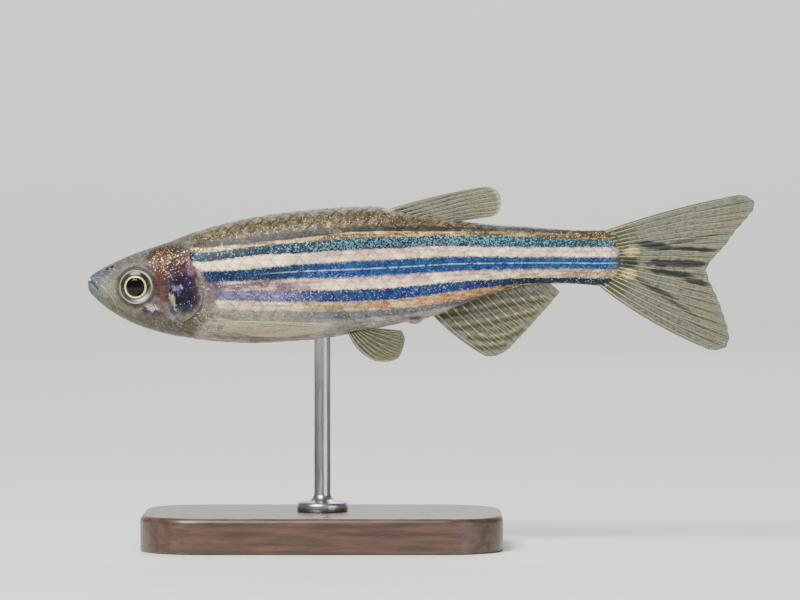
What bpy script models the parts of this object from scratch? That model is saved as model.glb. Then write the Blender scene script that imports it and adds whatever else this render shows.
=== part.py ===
"""A zebra danio at life size, swimming, on a small display stand.

Metres, +Z up. The head points to -X and the fish's left side faces -Y. The origin lies on the
floor, under the middle of the fish. Places on the fish are written as (station, height): how far
behind the tip of the lower jaw and how far above it, in hundredths of the standard length, which
runs from that tip to the root of the tail fin.
"""

import math

import bmesh
import bpy
import numpy as np

MM = 0.001

# Driving sizes
STANDARD_LENGTH = 36.0 * MM
TAIL_TIP_STATION = 123.5
JAW_TIP_X = -STANDARD_LENGTH * TAIL_TIP_STATION / 200  # so that the fish is centred on the origin
JAW_TIP_Z = 17.5 * MM
GAP = 0.25 * MM  # between neighbouring pieces

# Outline of the body
BACK = [
    (0.0, 0.0), (0.37, 1.1), (1.0, 2.05), (2.2, 2.8), (5.2, 4.35), (9.6, 6.2), (15.2, 8.05), (19.8, 9.85),
    (24.4, 11.2), (30.0, 12.5), (39.3, 13.8), (50.4, 14.6), (54.0, 14.55), (57.8, 13.55), (65.2, 12.4),
    (72.6, 11.5), (83.7, 10.7), (91.1, 10.2), (98.5, 10.2), (103.0, 9.9),
]
BELLY = [
    (0.0, 0.0), (0.37, -1.3), (1.3, -2.35), (2.2, -3.2), (5.2, -5.4), (9.6, -7.55), (15.2, -9.2),
    (22.6, -10.4), (30.0, -10.85), (37.4, -10.5), (44.8, -9.8), (50.4, -8.7), (57.8, -7.2), (63.5, -6.0),
    (68.9, -3.8), (76.3, -1.3), (81.0, -0.25), (87.4, 0.2), (94.8, -0.35), (98.5, -1.2), (103.0, -2.0),
]
HALF_WIDTH = [
    (0.0, 0.0), (0.37, 0.95), (1.0, 1.6), (2.2, 2.5), (5.2, 3.8), (9.6, 5.0), (14.3, 5.8), (20.7, 6.4),
    (28.0, 6.9), (36.0, 7.0), (45.0, 6.7), (54.0, 6.0), (63.0, 5.0), (72.6, 4.0), (83.7, 2.9), (93.0, 2.0),
    (98.5, 1.45), (103.0, 1.0),
]
WIDEST = [  # the height at which the body is widest
    (0.0, 0.0), (9.6, -0.4), (20.0, -0.6), (30.0, 0.0), (40.0, 1.0), (57.8, 3.1), (76.3, 4.4), (103.0, 4.3),
]
BODY_END = 103.0
SQUARENESS = 2.3  # of the cross-section; 2 would be an ellipse
BODY_RINGS = 56
RING_CROWDING = 1.7  # how much closer the rings are towards the jaw
RING_POINTS = 30

# Borders between the pieces of the body, from the top down
GILL_EDGE = [
    (20.4, 16.0), (19.8, 9.8), (19.2, 6.4), (19.5, 4.2), (20.7, 0.9), (21.5, -1.3), (21.3, -3.3),
    (20.2, -5.2), (18.5, -6.6), (16.8, -9.4), (15.6, -14.0),
]
TRUNK_END = 53.3
STALK_START = 87.6
TAIL_EDGE = [
    (96.0, 16.0), (99.3, 9.6), (101.3, 7.0), (101.9, 4.3), (101.2, 1.6), (98.9, -0.6), (94.0, -6.0),
]

# Head
MOUTH_LINE = [(-1.4, 2.7), (0.4, 0.95), (2.1, -1.0)]  # down to the corners of the mouth
MOUTH_OPENING = 0.12 * MM
LIP_RADIUS = 0.15 * MM
LIP_SINK = 0.07 * MM  # of its middle under the skin

EYE_PLACE = (9.2, -0.25)
EYE_RADIUS = 1.14 * MM
EYE_DEPTH = 0.75 * MM  # behind its widest circle
EYE_BULGE = 0.36 * MM  # in front of it
EYE_SINK = 0.06 * MM  # of the widest circle under the skin
EYE_TURN = math.radians(9)  # forward
LENS_RADIUS = 0.6 * MM
LENS_BULGE = 0.12 * MM
EYE_SIDES = 20
NOSTRILS = [(3.7, 3.0), (4.6, 3.35)]
NOSTRIL_RADIUS = 0.15 * MM
BARBELS = [[(1.5, 1.5), (2.4, 1.3), (3.3, 0.7)], [(2.5, 0.1), (3.9, -1.2), (5.1, -3.0), (5.9, -4.9)]]
BARBEL_RADIUS = 0.13 * MM

GILL_COVER_FRONT = [
    (23.0, 4.9), (19.0, 5.2), (16.4, 4.6), (15.2, 2.4), (14.9, -0.6), (15.3, -3.6), (16.6, -6.0),
    (23.0, -7.6),
]
GILL_COVER_INSIDE = 1.3 * MM  # from the middle of the fish to the cover's inner face
GILL_COVER_RISE = 0.08 * MM  # of the cover above the skin around it

VENT_STATION = 61.6
VENT_RADIUS = 0.4 * MM

# Fins: edges run from the tip of the first ray to the tip of the last
FIN_HALF_THICKNESS = 0.25 * MM
FIN_TIP_HALF_THICKNESS = 0.15 * MM
FIN_ROWS = 6
RAY_RIDGE = 0.1 * MM
RAY_SHAPE = [(0.2, 0.0), (0.5, 1.0), (0.8, 0.0)]  # (place, rise) across one ray's share of the fin
UPPER_LOBE_EDGE = [
    (120.7, 16.75), (122.3, 16.4), (123.5, 15.2), (123.2, 13.9), (121.7, 12.0), (119.8, 9.8),
    (118.0, 7.3), (116.1, 5.2), (115.0, 3.9), (114.6, 3.2),
]
LOWER_LOBE_EDGE = [
    (115.2, -12.05), (116.9, -12.05), (118.1, -11.6), (118.8, -10.3), (118.7, -8.8), (117.7, -5.4),
    (116.5, -2.1), (115.2, 0.6), (114.6, 2.3),
]
UPPER_LOBE_RAYS = 10
UPPER_LOBE_BOW = -0.1 * MM
LOWER_LOBE_RAYS = 9
FORK_ROOT_HEIGHT = 4.3
DORSAL_ROOT = (54.5, 66.3)
DORSAL_RAYS = 9
DORSAL_BOW = -0.15 * MM
DORSAL_EDGE = [(73.7, 18.25), (75.3, 17.9), (76.4, 16.6), (76.5, 14.7), (75.9, 13.3), (74.6, 12.6)]
ANAL_ROOT = (63.7, 85.2)
ANAL_RAYS = 14
ANAL_BOW = 0.2 * MM
ANAL_EDGE = [
    (73.7, -13.25), (75.4, -13.2), (77.2, -12.4), (80.0, -9.7), (83.7, -5.6), (86.3, -2.6), (87.3, -1.1),
    (86.6, -0.75),
]
PELVIC_ROOT = (48.0, 50.6)
PELVIC_RAYS = 8
PELVIC_BOW = 0.35 * MM
PELVIC_EDGE = [(53.4, -14.0), (55.9, -14.0), (57.4, -13.5), (58.4, -11.6), (58.7, -9.7), (58.1, -8.5)]
PELVIC_ROOT_SIDE = 0.8 * MM  # from the middle of the fish
PELVIC_SPREAD = math.radians(22)
PECTORAL_ROOT = [(23.0, -6.3), (22.8, -7.1), (23.2, -8.0)]
PECTORAL_EDGE = [(44.0, -6.9), (45.6, -7.2), (44.6, -8.0), (41.0, -8.9), (36.0, -9.4), (32.0, -9.4)]
PECTORAL_RAYS = 8
PECTORAL_FLARE = math.radians(5)

# Stand
BASE_SIZE = (24.0 * MM, 14.0 * MM, 2.4 * MM)
BASE_CORNER = 4.0 * MM
BASE_BEVEL = 0.4 * MM
ROD_STATION = 43.4
ROD_RADIUS = 0.55 * MM
ROD_FLANGE = (1.7 * MM, 0.6 * MM)  # its radius and height
ROD_PEG_LENGTH = 1.1 * MM
ROUND_SIDES = 24

# Well past the fish on every side
FAR_SIDE = 10 * MM
FAR_AHEAD = -20.0
FAR_BEHIND = 140.0
FAR_UP = 40.0


def share(amount):
    """An amount in hundredths of the standard length, as metres."""
    return amount * STANDARD_LENGTH / 100


def hundredths(metres):
    return metres * 100 / STANDARD_LENGTH


def x_at(station):
    return JAW_TIP_X + share(station)


def z_at(height):
    return JAW_TIP_Z + share(height)


def smooth(knots, values, where):
    """A smooth curve through values, which may be numbers or points, read at where."""
    knots = np.asarray(knots, float)
    values = np.asarray(values, float).reshape(len(knots), -1)
    where = np.clip(np.atleast_1d(np.asarray(where, float)), knots[0], knots[-1])
    steps = np.diff(knots)[:, None]
    rises = np.diff(values, axis=0) / steps
    inner = (steps[1:] * rises[:-1] + steps[:-1] * rises[1:]) / (steps[1:] + steps[:-1])
    slopes = np.vstack([rises[:1], inner, rises[-1:]])
    i = np.clip(np.searchsorted(knots, where, side="right") - 1, 0, len(knots) - 2)
    h = steps[i]
    t = (where - knots[i])[:, None] / h
    start = values[i] * (1 + 2 * t) * (1 - t) ** 2 + slopes[i] * h * t * (1 - t) ** 2
    end = values[i + 1] * t * t * (3 - 2 * t) + slopes[i + 1] * h * t * t * (t - 1)
    return start + end


def profile(table):
    """A function of the station. It is smooth in the station's root, so the front is rounded."""
    knots = [math.sqrt(station) for station, _ in table]
    values = [value for _, value in table]
    return lambda station: smooth(knots, values, np.sqrt(np.maximum(station, 0)))[:, 0]


back = profile(BACK)
belly = profile(BELLY)
half_width = profile(HALF_WIDTH)
widest = profile(WIDEST)


def flank(station, height):
    """How far the skin is from the middle of the fish, in hundredths."""
    middle = widest(station)
    reach = np.where(height > middle, back(station) - middle, middle - belly(station))
    part = np.clip(np.abs(height - middle) / reach, 0, 1)
    return half_width(station) * (1 - part**SQUARENESS) ** (1 / SQUARENESS)


def along_curve(points, shares):
    """Points on a smooth curve through the given ones, at shares of its length."""
    points = np.asarray(points, float)
    reach = np.concatenate([[0], np.cumsum(np.linalg.norm(np.diff(points, axis=0), axis=1))])
    return smooth(reach, points, np.asarray(shares) * reach[-1])


def even_curve(points, count):
    return along_curve(points, np.linspace(0, 1, count))


def beside(line, distance):
    """A (station, height) line moved sideways by a distance in metres, to the left of its direction."""
    line = np.asarray(line, float)
    way = np.gradient(line, axis=0)
    way /= np.linalg.norm(way, axis=1)[:, None]
    return line + np.column_stack([-way[:, 1], way[:, 0]]) * hundredths(distance)


def unit(vector):
    return np.asarray(vector, float) / np.linalg.norm(vector)


def mesh_object(name, points, faces):
    """An object whose faces are turned outwards, whichever way they were listed."""
    mesh = bpy.data.meshes.new(name)
    mesh.from_pydata([tuple(map(float, p)) for p in points], [], faces)
    obj = bpy.data.objects.new(name, mesh)
    bpy.context.scene.collection.objects.link(obj)
    work = bmesh.new()
    work.from_mesh(mesh)
    bmesh.ops.recalc_face_normals(work, faces=work.faces)
    if work.calc_volume(signed=True) < 0:
        bmesh.ops.reverse_faces(work, faces=work.faces)
    work.to_mesh(mesh)
    work.free()
    return obj


def loft(name, rings, tip=None):
    """A closed body through rings of points, which starts at a tip or with a flat face."""
    count = len(rings[0])
    points = [p for ring in rings for p in ring]
    faces = []
    for r in range(len(rings) - 1):
        for i in range(count):
            j = (i + 1) % count
            faces.append((r * count + i, r * count + j, (r + 1) * count + j, (r + 1) * count + i))
    faces.append(tuple((len(rings) - 1) * count + i for i in range(count)))
    if tip is None:
        faces.append(tuple(reversed(range(count))))
    else:
        points.append(tip)
        faces += [(len(points) - 1, (i + 1) % count, i) for i in range(count)]
    return mesh_object(name, points, faces)


def turned(name, outline, centre, axis, sides=ROUND_SIDES):
    """A solid of revolution. Its outline holds (radius, distance along the axis), end to end."""
    axis = unit(axis)
    across = unit(np.cross(axis, (1, 0, 0)))
    up = np.cross(axis, across)
    rings = []
    for radius, distance in outline:
        angles = [2 * math.pi * i / sides for i in range(sides)]
        spokes = [across * math.cos(a) + up * math.sin(a) for a in angles]
        rings.append([np.array(centre) + axis * distance + spoke * radius for spoke in spokes])
    return loft(name, rings)


def tube(name, path, radii, sides):
    """A closed round tube along a path, with a radius at each point."""
    path = np.asarray(path, float)
    rings = []
    for point, way, radius in zip(path, np.gradient(path, axis=0), radii):
        across = unit(np.cross(way, (0, 0, 1)))
        up = unit(np.cross(across, way))
        angles = [2 * math.pi * i / sides for i in range(sides)]
        rings.append([point + radius * (across * math.cos(a) + up * math.sin(a)) for a in angles])
    return loft(name, rings)


def slab(name, outline, y_from=-FAR_SIDE, y_to=FAR_SIDE):
    """A (station, height) outline pulled from one depth of the fish to another."""
    return loft(name, [[(x_at(s), y, z_at(h)) for s, h in outline] for y in (y_from, y_to)])


def apply_modifiers(obj):
    graph = bpy.context.evaluated_depsgraph_get()
    made = bpy.data.meshes.new_from_object(obj.evaluated_get(graph))
    obj.modifiers.clear()
    old = obj.data
    obj.data = made
    bpy.data.meshes.remove(old)


def combine(obj, operation, others):
    """One Boolean of an object with other closed ones, which are then removed."""
    group = bpy.data.collections.new(obj.name + "_others")
    bpy.context.scene.collection.children.link(group)
    for other in others:
        bpy.context.scene.collection.objects.unlink(other)
        group.objects.link(other)
    modifier = obj.modifiers.new("combine", "BOOLEAN")
    modifier.operation = operation
    modifier.operand_type = "COLLECTION"
    modifier.collection = group
    modifier.solver = "EXACT"
    apply_modifiers(obj)
    for other in others:
        bpy.data.objects.remove(other)
    bpy.data.collections.remove(group)


def keep_largest(obj):
    """Drops every closed surface of the object but the largest."""
    work = bmesh.new()
    work.from_mesh(obj.data)
    left = set(work.verts)
    surfaces = []
    while left:
        surface, fresh = set(), [left.pop()]
        while fresh:
            vert = fresh.pop()
            surface.add(vert)
            near = {edge.other_vert(vert) for edge in vert.link_edges} & left
            left -= near
            fresh += near
        surfaces.append(surface)
    spans = [np.ptp([vert.co for vert in surface], axis=0).sum() for surface in surfaces]
    largest = surfaces[int(np.argmax(spans))]
    bmesh.ops.delete(work, geom=[vert for vert in work.verts if vert not in largest], context="VERTS")
    work.to_mesh(obj.data)
    work.free()


def part_of(whole, name, region, less=()):
    """A node: the part of the whole inside the region, less some other closed shapes."""
    obj = whole.copy()
    obj.data = whole.data.copy()
    obj.name = name
    bpy.context.scene.collection.objects.link(obj)
    combine(obj, "INTERSECT", [region])
    if less:
        combine(obj, "DIFFERENCE", list(less))
    keep_largest(obj)
    return obj


def body_ring(station, swell):
    """The cross-section at a station, with the flanks moved out by swell."""
    top, bottom, middle = (outline(station)[0] for outline in (back, belly, widest))
    wide = half_width(station)[0] + hundredths(swell)
    ring = []
    for i in range(RING_POINTS):
        a = 2 * math.pi * (i + 0.5) / RING_POINTS
        c, s = math.cos(a), math.sin(a)
        reach = top - middle if s > 0 else middle - bottom
        y = wide * math.copysign(abs(c) ** (2 / SQUARENESS), c)
        height = middle + reach * math.copysign(abs(s) ** (2 / SQUARENESS), s)
        ring.append((x_at(station), share(y), z_at(height)))
    return ring


def plain_body(name, swell=0.0):
    steps = [(i / BODY_RINGS) ** RING_CROWDING for i in range(1, BODY_RINGS + 1)]
    return loft(name, [body_ring(BODY_END * step, swell) for step in steps], tip=(x_at(0), 0, z_at(0)))


def lip(name, side_of_mouth):
    """A round rim from one corner of the mouth to the other, above (1) or below (-1) the opening."""
    line = beside(even_curve(MOUTH_LINE, 60), side_of_mouth * (MOUTH_OPENING / 2 + 0.6 * LIP_RADIUS))
    on_skin = (line[:, 0] > 0) & (line[:, 1] < back(line[:, 0])) & (line[:, 1] > belly(line[:, 0]))
    line = line[on_skin]
    side = [(x_at(s) + LIP_SINK, max(0.0, share(flank(s, h)[0]) - LIP_SINK / 2), z_at(h)) for s, h in line]
    half = side[:: len(side) // 7]
    path = [(x, -y, z) for x, y, z in reversed(half)] + half
    path = even_curve(path, 21)
    radii = [LIP_RADIUS * (0.55 + 0.45 * math.sin(math.pi * i / 20)) for i in range(21)]
    return tube(name, path, radii, 8)


def barbel(name, line, side):
    """A feeler that lies back against the cheek and thins to its tip."""
    line = even_curve(line, 7)
    path = [(x_at(s), side * share(flank(s, h)[0]), z_at(h)) for s, h in line]
    return tube(name, path, BARBEL_RADIUS * np.linspace(1.0, 0.4, len(path)), 6)


def vent():
    """The short tube of the vent, just ahead of the anal fin."""
    stations = np.linspace(VENT_STATION - 3.2, VENT_STATION + 0.6, 5)
    path = [(x_at(s), 0, z_at(belly(s)[0]) + 0.45 * VENT_RADIUS) for s in stations]
    return tube("vent", path, [VENT_RADIUS * r for r in (0.45, 0.75, 0.95, 1.0, 0.7)], 10)


def make_whole_body():
    whole = plain_body("whole")
    additions = [lip("upper_lip", 1), lip("lower_lip", -1), vent()]
    for side in (-1, 1):
        additions += [barbel("barbel", line, side) for line in BARBELS]
    combine(whole, "UNION", additions)
    keep_largest(whole)
    return whole


def eye_frame(side):
    """The centre of the eye's widest circle, and the direction it looks in."""
    skin = share(flank(*EYE_PLACE)[0])
    centre = (x_at(EYE_PLACE[0]), side * (skin - EYE_SINK), z_at(EYE_PLACE[1]))
    return centre, (-math.sin(EYE_TURN), side * math.cos(EYE_TURN), 0)


def bowl(radius, depth, rings):
    """Half of an ellipse from near its deepest point to its widest circle."""
    angles = np.linspace(-0.46 * math.pi, 0, rings)
    return [(radius * math.cos(a), depth * math.sin(a)) for a in angles]


def make_eye(name, side):
    """An eyeball with the lens standing out of its pupil."""
    front = [(radius, -depth) for radius, depth in reversed(bowl(EYE_RADIUS, EYE_BULGE, 8))]
    rim = EYE_BULGE * math.sqrt(1 - (LENS_RADIUS / EYE_RADIUS) ** 2)
    iris = [(r, d) for r, d in front[1:] if r > LENS_RADIUS * 1.15]
    lens = [(LENS_RADIUS * 1.04, rim), (LENS_RADIUS * 0.94, rim + 0.5 * LENS_BULGE)]
    lens += [(LENS_RADIUS * 0.6, rim + LENS_BULGE), (LENS_RADIUS * 0.2, rim + 1.15 * LENS_BULGE)]
    turned(name, bowl(EYE_RADIUS, EYE_DEPTH, 6) + iris + lens, *eye_frame(side), EYE_SIDES)


def eye_socket(side):
    inside = bowl(EYE_RADIUS + GAP, EYE_DEPTH + GAP, 6)
    return turned("socket", inside + [(EYE_RADIUS + GAP, 2 * MM)], *eye_frame(side), EYE_SIDES)


def nostril(place, side):
    station, height = place
    centre = (x_at(station), side * share(flank(station, height)[0]), z_at(height))
    angles = np.linspace(-0.4 * math.pi, 0.4 * math.pi, 5)
    ball = [(NOSTRIL_RADIUS * math.cos(a), NOSTRIL_RADIUS * math.sin(a)) for a in angles]
    return turned("nostril", ball, centre, (0, side, 1), 8)


def behind(line, distance):
    """Everything behind a border line that runs down the fish, from a distance behind the line."""
    moved = [tuple(p) for p in beside(even_curve(line, 30), distance)]
    return slab("behind", [*moved, (FAR_BEHIND, moved[-1][1]), (FAR_BEHIND, moved[0][1])])


def make_head(whole):
    ahead = [tuple(p) for p in beside(even_curve(GILL_EDGE, 30), -GAP / 2)]
    region = slab("ahead", [*ahead, (FAR_AHEAD, ahead[-1][1]), (FAR_AHEAD, ahead[0][1])])
    upper, lower = (beside(even_curve(MOUTH_LINE, 12), way * MOUTH_OPENING / 2) for way in (1, -1))
    less = [slab("mouth", [*upper, *reversed(lower)])]
    for side in (-1, 1):
        less += [eye_socket(side), gill_space(side, GAP)]
        less += [nostril(place, side) for place in NOSTRILS]
    part_of(whole, "head", region, less)


def gill_space(side, margin):
    """The room of a gill cover, larger all round by a margin, and open to the back."""
    outline = beside(even_curve(GILL_COVER_FRONT, 22), -margin)
    inner = side * (GILL_COVER_INSIDE - margin)
    return slab("gill_space", outline, inner, side * FAR_SIDE)


def make_gill_cover(name, side):
    raised = plain_body("raised", GILL_COVER_RISE)
    part_of(raised, name, gill_space(side, 0.0), [behind(GILL_EDGE, -GAP / 2)])
    bpy.data.objects.remove(raised)


def make_flesh():
    """The head, the eyes, the gill covers and the three lengths of the body."""
    whole = make_whole_body()
    make_head(whole)
    for name, side in (("left", -1), ("right", 1)):
        make_gill_cover("gill_cover_" + name, side)
        make_eye("eye_" + name, side)
    half = hundredths(GAP / 2)
    part_of(whole, "trunk", behind(GILL_EDGE, GAP / 2), [upright_slab(TRUNK_END - half, FAR_BEHIND)])
    part_of(whole, "rear_body", upright_slab(TRUNK_END + half, STALK_START - half))
    part_of(whole, "tail_stalk", upright_slab(STALK_START + half, FAR_BEHIND), [behind(TAIL_EDGE, 0)])
    bpy.data.objects.remove(whole)


def upright_slab(start, end):
    return slab("length", [(start, -FAR_UP), (end, -FAR_UP), (end, FAR_UP), (start, FAR_UP)])


def fin(name, root, edge, rays, place, bow=0.0):
    """A closed fin with its rays raised on both faces.

    root and edge are lines of (station, height) from the first ray to the last. place turns such a
    point into one in space. bow bends the first ray outwards, in metres, and the last one not at all.
    """
    columns = [((ray + offset) / rays, rise) for ray in range(rays) for offset, rise in RAY_SHAPE]
    across, rise = np.array([(0.0, 0.0), *columns, (1.0, 0.0)]).T
    out = np.linspace(0, 1, FIN_ROWS)[:, None]
    starts, ends = along_curve(root, across), along_curve(edge, across)
    way = ends - starts
    aside = np.column_stack([way[:, 1], -way[:, 0]]) / np.linalg.norm(way, axis=1)[:, None]
    bulge = hundredths(bow) * (1 - across)[None, :] * 4 * out * (1 - out)
    flat = starts + way * out[:, :, None] + aside * bulge[:, :, None]
    grid = np.array([[place(station, height) for station, height in row] for row in flat])
    half = FIN_HALF_THICKNESS + (FIN_TIP_HALF_THICKNESS - FIN_HALF_THICKNESS) * out**2
    return sheet(name, grid, half + RAY_RIDGE * rise[None, :] * (1 - 0.5 * out))


def sheet(name, grid, half):
    """A closed sheet around a grid of points, with both of its faces split into triangles alike."""
    rows, columns = half.shape
    normals = np.cross(np.gradient(grid, axis=0), np.gradient(grid, axis=1))
    normals /= np.linalg.norm(normals, axis=2)[:, :, None]
    front = grid + normals * half[:, :, None]
    rear = grid - normals * half[:, :, None]
    points = np.concatenate([front.reshape(-1, 3), rear.reshape(-1, 3)])
    other = rows * columns
    faces = []
    for r in range(rows - 1):
        for c in range(columns - 1):
            a, b = r * columns + c, r * columns + c + 1
            d, e = a + columns, b + columns
            for triangle in ((a, b, e), (a, e, d)):
                faces.append(triangle)
                faces.append(tuple(i + other for i in reversed(triangle)))
    rim = list(range(columns)) + [r * columns + columns - 1 for r in range(1, rows)]
    rim += [(rows - 1) * columns + c for c in reversed(range(columns - 1))]
    rim += [r * columns for r in reversed(range(1, rows - 1))]
    for a, b in zip(rim, rim[1:] + rim[:1]):
        faces.append((b, a, a + other))
        faces.append((b, a + other, b + other))
    return mesh_object(name, points, faces)


def in_middle(station, height):
    return (x_at(station), 0.0, z_at(height))


def root_line(outline, stations, away):
    """A fin's root along the back or the belly, a gap away from it."""
    line = [(s, outline(s)[0]) for s in np.linspace(*stations, 20)]
    return beside(line, away * GAP)


def make_tail_fin():
    border = beside(even_curve(TAIL_EDGE, 60), GAP)
    upper = border[(border[:, 1] > FORK_ROOT_HEIGHT + hundredths(GAP / 2)) & (border[:, 1] < 10.3)]
    lower = border[(border[:, 1] < FORK_ROOT_HEIGHT - hundredths(GAP / 2)) & (border[:, 1] > -1.9)][::-1]
    fin("caudal_fin_upper", upper, UPPER_LOBE_EDGE, UPPER_LOBE_RAYS, in_middle, UPPER_LOBE_BOW)
    fin("caudal_fin_lower", lower, LOWER_LOBE_EDGE, LOWER_LOBE_RAYS, in_middle)


def make_dorsal_fin():
    fin("dorsal_fin", root_line(back, DORSAL_ROOT, 1), DORSAL_EDGE, DORSAL_RAYS, in_middle, DORSAL_BOW)


def make_anal_fin():
    fin("anal_fin", root_line(belly, ANAL_ROOT, -1), ANAL_EDGE, ANAL_RAYS, in_middle, ANAL_BOW)


def make_pelvic_fin(name, side):
    """A fin under the belly that spreads out sideways as it goes down."""
    start, end = PELVIC_ROOT
    lean = math.tan(PELVIC_SPREAD)
    root = []
    for station in np.linspace(start, end, 9):
        outward = hundredths(PELVIC_ROOT_SIDE) / half_width(station)[0]
        fall = (1 - outward**SQUARENESS) ** (1 / SQUARENESS)
        middle = widest(station)[0]
        root.append((station, middle + (belly(station)[0] - middle) * fall - hundredths(1.35 * GAP)))
    top = z_at(root[0][1])

    def place(station, height):
        z = z_at(height)
        return (x_at(station), side * (PELVIC_ROOT_SIDE + (top - z) * lean), z)

    fin(name, root, PELVIC_EDGE, PELVIC_RAYS, place, PELVIC_BOW)


def make_pectoral_fin(name, side):
    """A folded fin that lies back along the flank and stands off it a little more to its tip."""
    start = x_at(PECTORAL_ROOT[0][0])

    def place(station, height):
        x = x_at(station)
        clear = GAP + FIN_HALF_THICKNESS + max(0.0, x - start) * math.tan(PECTORAL_FLARE)
        return (x, side * (share(flank(station, height)[0]) + clear), z_at(height))

    fin(name, PECTORAL_ROOT, PECTORAL_EDGE, PECTORAL_RAYS, place)


def make_base(centre_x):
    """A flat plinth with round corners, a bevelled top and a hole for the rod's peg."""
    length, depth, thickness = BASE_SIZE
    outline = []
    for corner, (sx, sy) in enumerate(((1, 1), (-1, 1), (-1, -1), (1, -1))):
        for step in range(7):
            a = math.pi / 2 * (corner + step / 6)
            x = sx * (length / 2 - BASE_CORNER) + BASE_CORNER * math.cos(a)
            y = sy * (depth / 2 - BASE_CORNER) + BASE_CORNER * math.sin(a)
            outline.append((x, y))
    shrink = BASE_BEVEL * 2
    levels = [(-thickness, 0.0), (-BASE_BEVEL, 0.0), (-0.3 * BASE_BEVEL, 0.3), (0.0, 1.0)]
    rings = []
    for below_top, part in levels:
        z = thickness + below_top
        sx, sy = 1 - part * shrink / length, 1 - part * shrink / depth
        rings.append([(centre_x + x * sx, y * sy, z) for x, y in outline])
    base = loft("stand_base", rings)
    depth_of_hole = ROD_PEG_LENGTH + GAP
    hole = [(ROD_RADIUS + GAP, thickness - depth_of_hole), (ROD_RADIUS + GAP, thickness + MM)]
    combine(base, "DIFFERENCE", [turned("hole", hole, (x_at(ROD_STATION), 0, 0), (0, 0, 1))])
    keep_largest(base)


def make_rod():
    """The rod with its flange on the base, its peg in the base and its top under the belly."""
    thickness = BASE_SIZE[2]
    flange_radius, flange_height = ROD_FLANGE
    top = z_at(belly(ROD_STATION)[0]) - GAP
    flange_bottom = thickness + GAP
    outline = [
        (ROD_RADIUS, thickness - ROD_PEG_LENGTH),
        (ROD_RADIUS, flange_bottom),
        (flange_radius, flange_bottom),
        (flange_radius, flange_bottom + 0.6 * flange_height),
        (0.85 * flange_radius, flange_bottom + flange_height),
        (ROD_RADIUS, flange_bottom + 1.5 * flange_height),
        (ROD_RADIUS, top),
    ]
    turned("stand_rod", outline, (x_at(ROD_STATION), 0, 0), (0, 0, 1))


MATERIALS = {  # node name start: colour, roughness, metallic
    "head": ((0.42, 0.40, 0.36), 0.3, 0.2),
    "gill_cover": ((0.34, 0.28, 0.34), 0.25, 0.5),
    "eye": ((0.03, 0.04, 0.04), 0.1, 0.0),
    "trunk": ((0.22, 0.30, 0.46), 0.25, 0.4),
    "rear_body": ((0.20, 0.28, 0.45), 0.25, 0.4),
    "tail_stalk": ((0.22, 0.28, 0.42), 0.3, 0.4),
    "caudal_fin": ((0.30, 0.31, 0.26), 0.35, 0.0),
    "dorsal_fin": ((0.33, 0.34, 0.30), 0.35, 0.0),
    "anal_fin": ((0.34, 0.34, 0.28), 0.35, 0.0),
    "pelvic_fin": ((0.36, 0.38, 0.32), 0.35, 0.0),
    "pectoral_fin": ((0.46, 0.46, 0.36), 0.35, 0.0),
    "stand_base": ((0.045, 0.03, 0.022), 0.4, 0.0),
    "stand_rod": ((0.55, 0.56, 0.58), 0.25, 1.0),
}


def give_material(obj):
    """A material of the object's own, and smooth shading up to its real edges."""
    start = next(key for key in MATERIALS if obj.name.startswith(key))
    colour, roughness, metallic = MATERIALS[start]
    material = bpy.data.materials.new(obj.name)
    material.use_nodes = True
    shader = material.node_tree.nodes["Principled BSDF"]
    shader.inputs["Base Color"].default_value = (*colour, 1)
    shader.inputs["Roughness"].default_value = roughness
    shader.inputs["Metallic"].default_value = metallic
    obj.data.materials.clear()
    obj.data.materials.append(material)
    obj.data.shade_smooth()
    obj.data.set_sharp_from_angle(angle=math.radians(35))


def main():
    for obj in list(bpy.data.objects):
        bpy.data.objects.remove(obj)
    make_flesh()
    make_tail_fin()
    make_dorsal_fin()
    make_anal_fin()
    for name, side in (("left", -1), ("right", 1)):
        make_pelvic_fin("pelvic_fin_" + name, side)
        make_pectoral_fin("pectoral_fin_" + name, side)
    make_base(x_at(ROD_STATION))
    make_rod()
    for obj in bpy.context.scene.objects:
        give_material(obj)


main()
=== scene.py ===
"""The looks of a zebra danio model: skin, scales, eyes, fins, stand and the studio around them.

Places on the fish are (station, height): how far behind the tip of the lower jaw and how far above
it, in hundredths of the length from that tip to the root of the tail fin. Everything else is in
metres, with +Z up, the head towards -X and the fish's left side towards -Y.
"""

import math

import bpy
import numpy as np
from bpy.props import FloatProperty, FloatVectorProperty, IntProperty, PointerProperty
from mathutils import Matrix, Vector


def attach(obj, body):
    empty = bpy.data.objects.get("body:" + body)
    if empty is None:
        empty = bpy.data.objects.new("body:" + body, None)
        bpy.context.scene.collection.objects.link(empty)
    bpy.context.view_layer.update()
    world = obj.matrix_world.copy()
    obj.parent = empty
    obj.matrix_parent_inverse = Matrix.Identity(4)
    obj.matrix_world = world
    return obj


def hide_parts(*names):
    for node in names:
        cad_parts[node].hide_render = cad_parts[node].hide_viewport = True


bl_info = {
    "name": "Zebra danio model",
    "version": (1, 0, 0),
    "blender": (4, 5, 0),
    "location": "3D View > Sidebar > Danio",
    "description": "Builds the skin, scales, eyes, fins, stand and studio of a life-size zebra danio",
    "category": "Object",
}

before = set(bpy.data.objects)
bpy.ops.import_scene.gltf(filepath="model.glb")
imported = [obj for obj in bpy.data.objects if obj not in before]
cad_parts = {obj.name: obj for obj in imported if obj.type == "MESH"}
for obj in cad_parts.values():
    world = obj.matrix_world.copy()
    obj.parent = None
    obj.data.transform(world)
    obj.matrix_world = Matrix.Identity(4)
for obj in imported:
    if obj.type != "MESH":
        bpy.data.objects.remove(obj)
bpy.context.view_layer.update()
BODY = "root"
MM = 0.001


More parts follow.
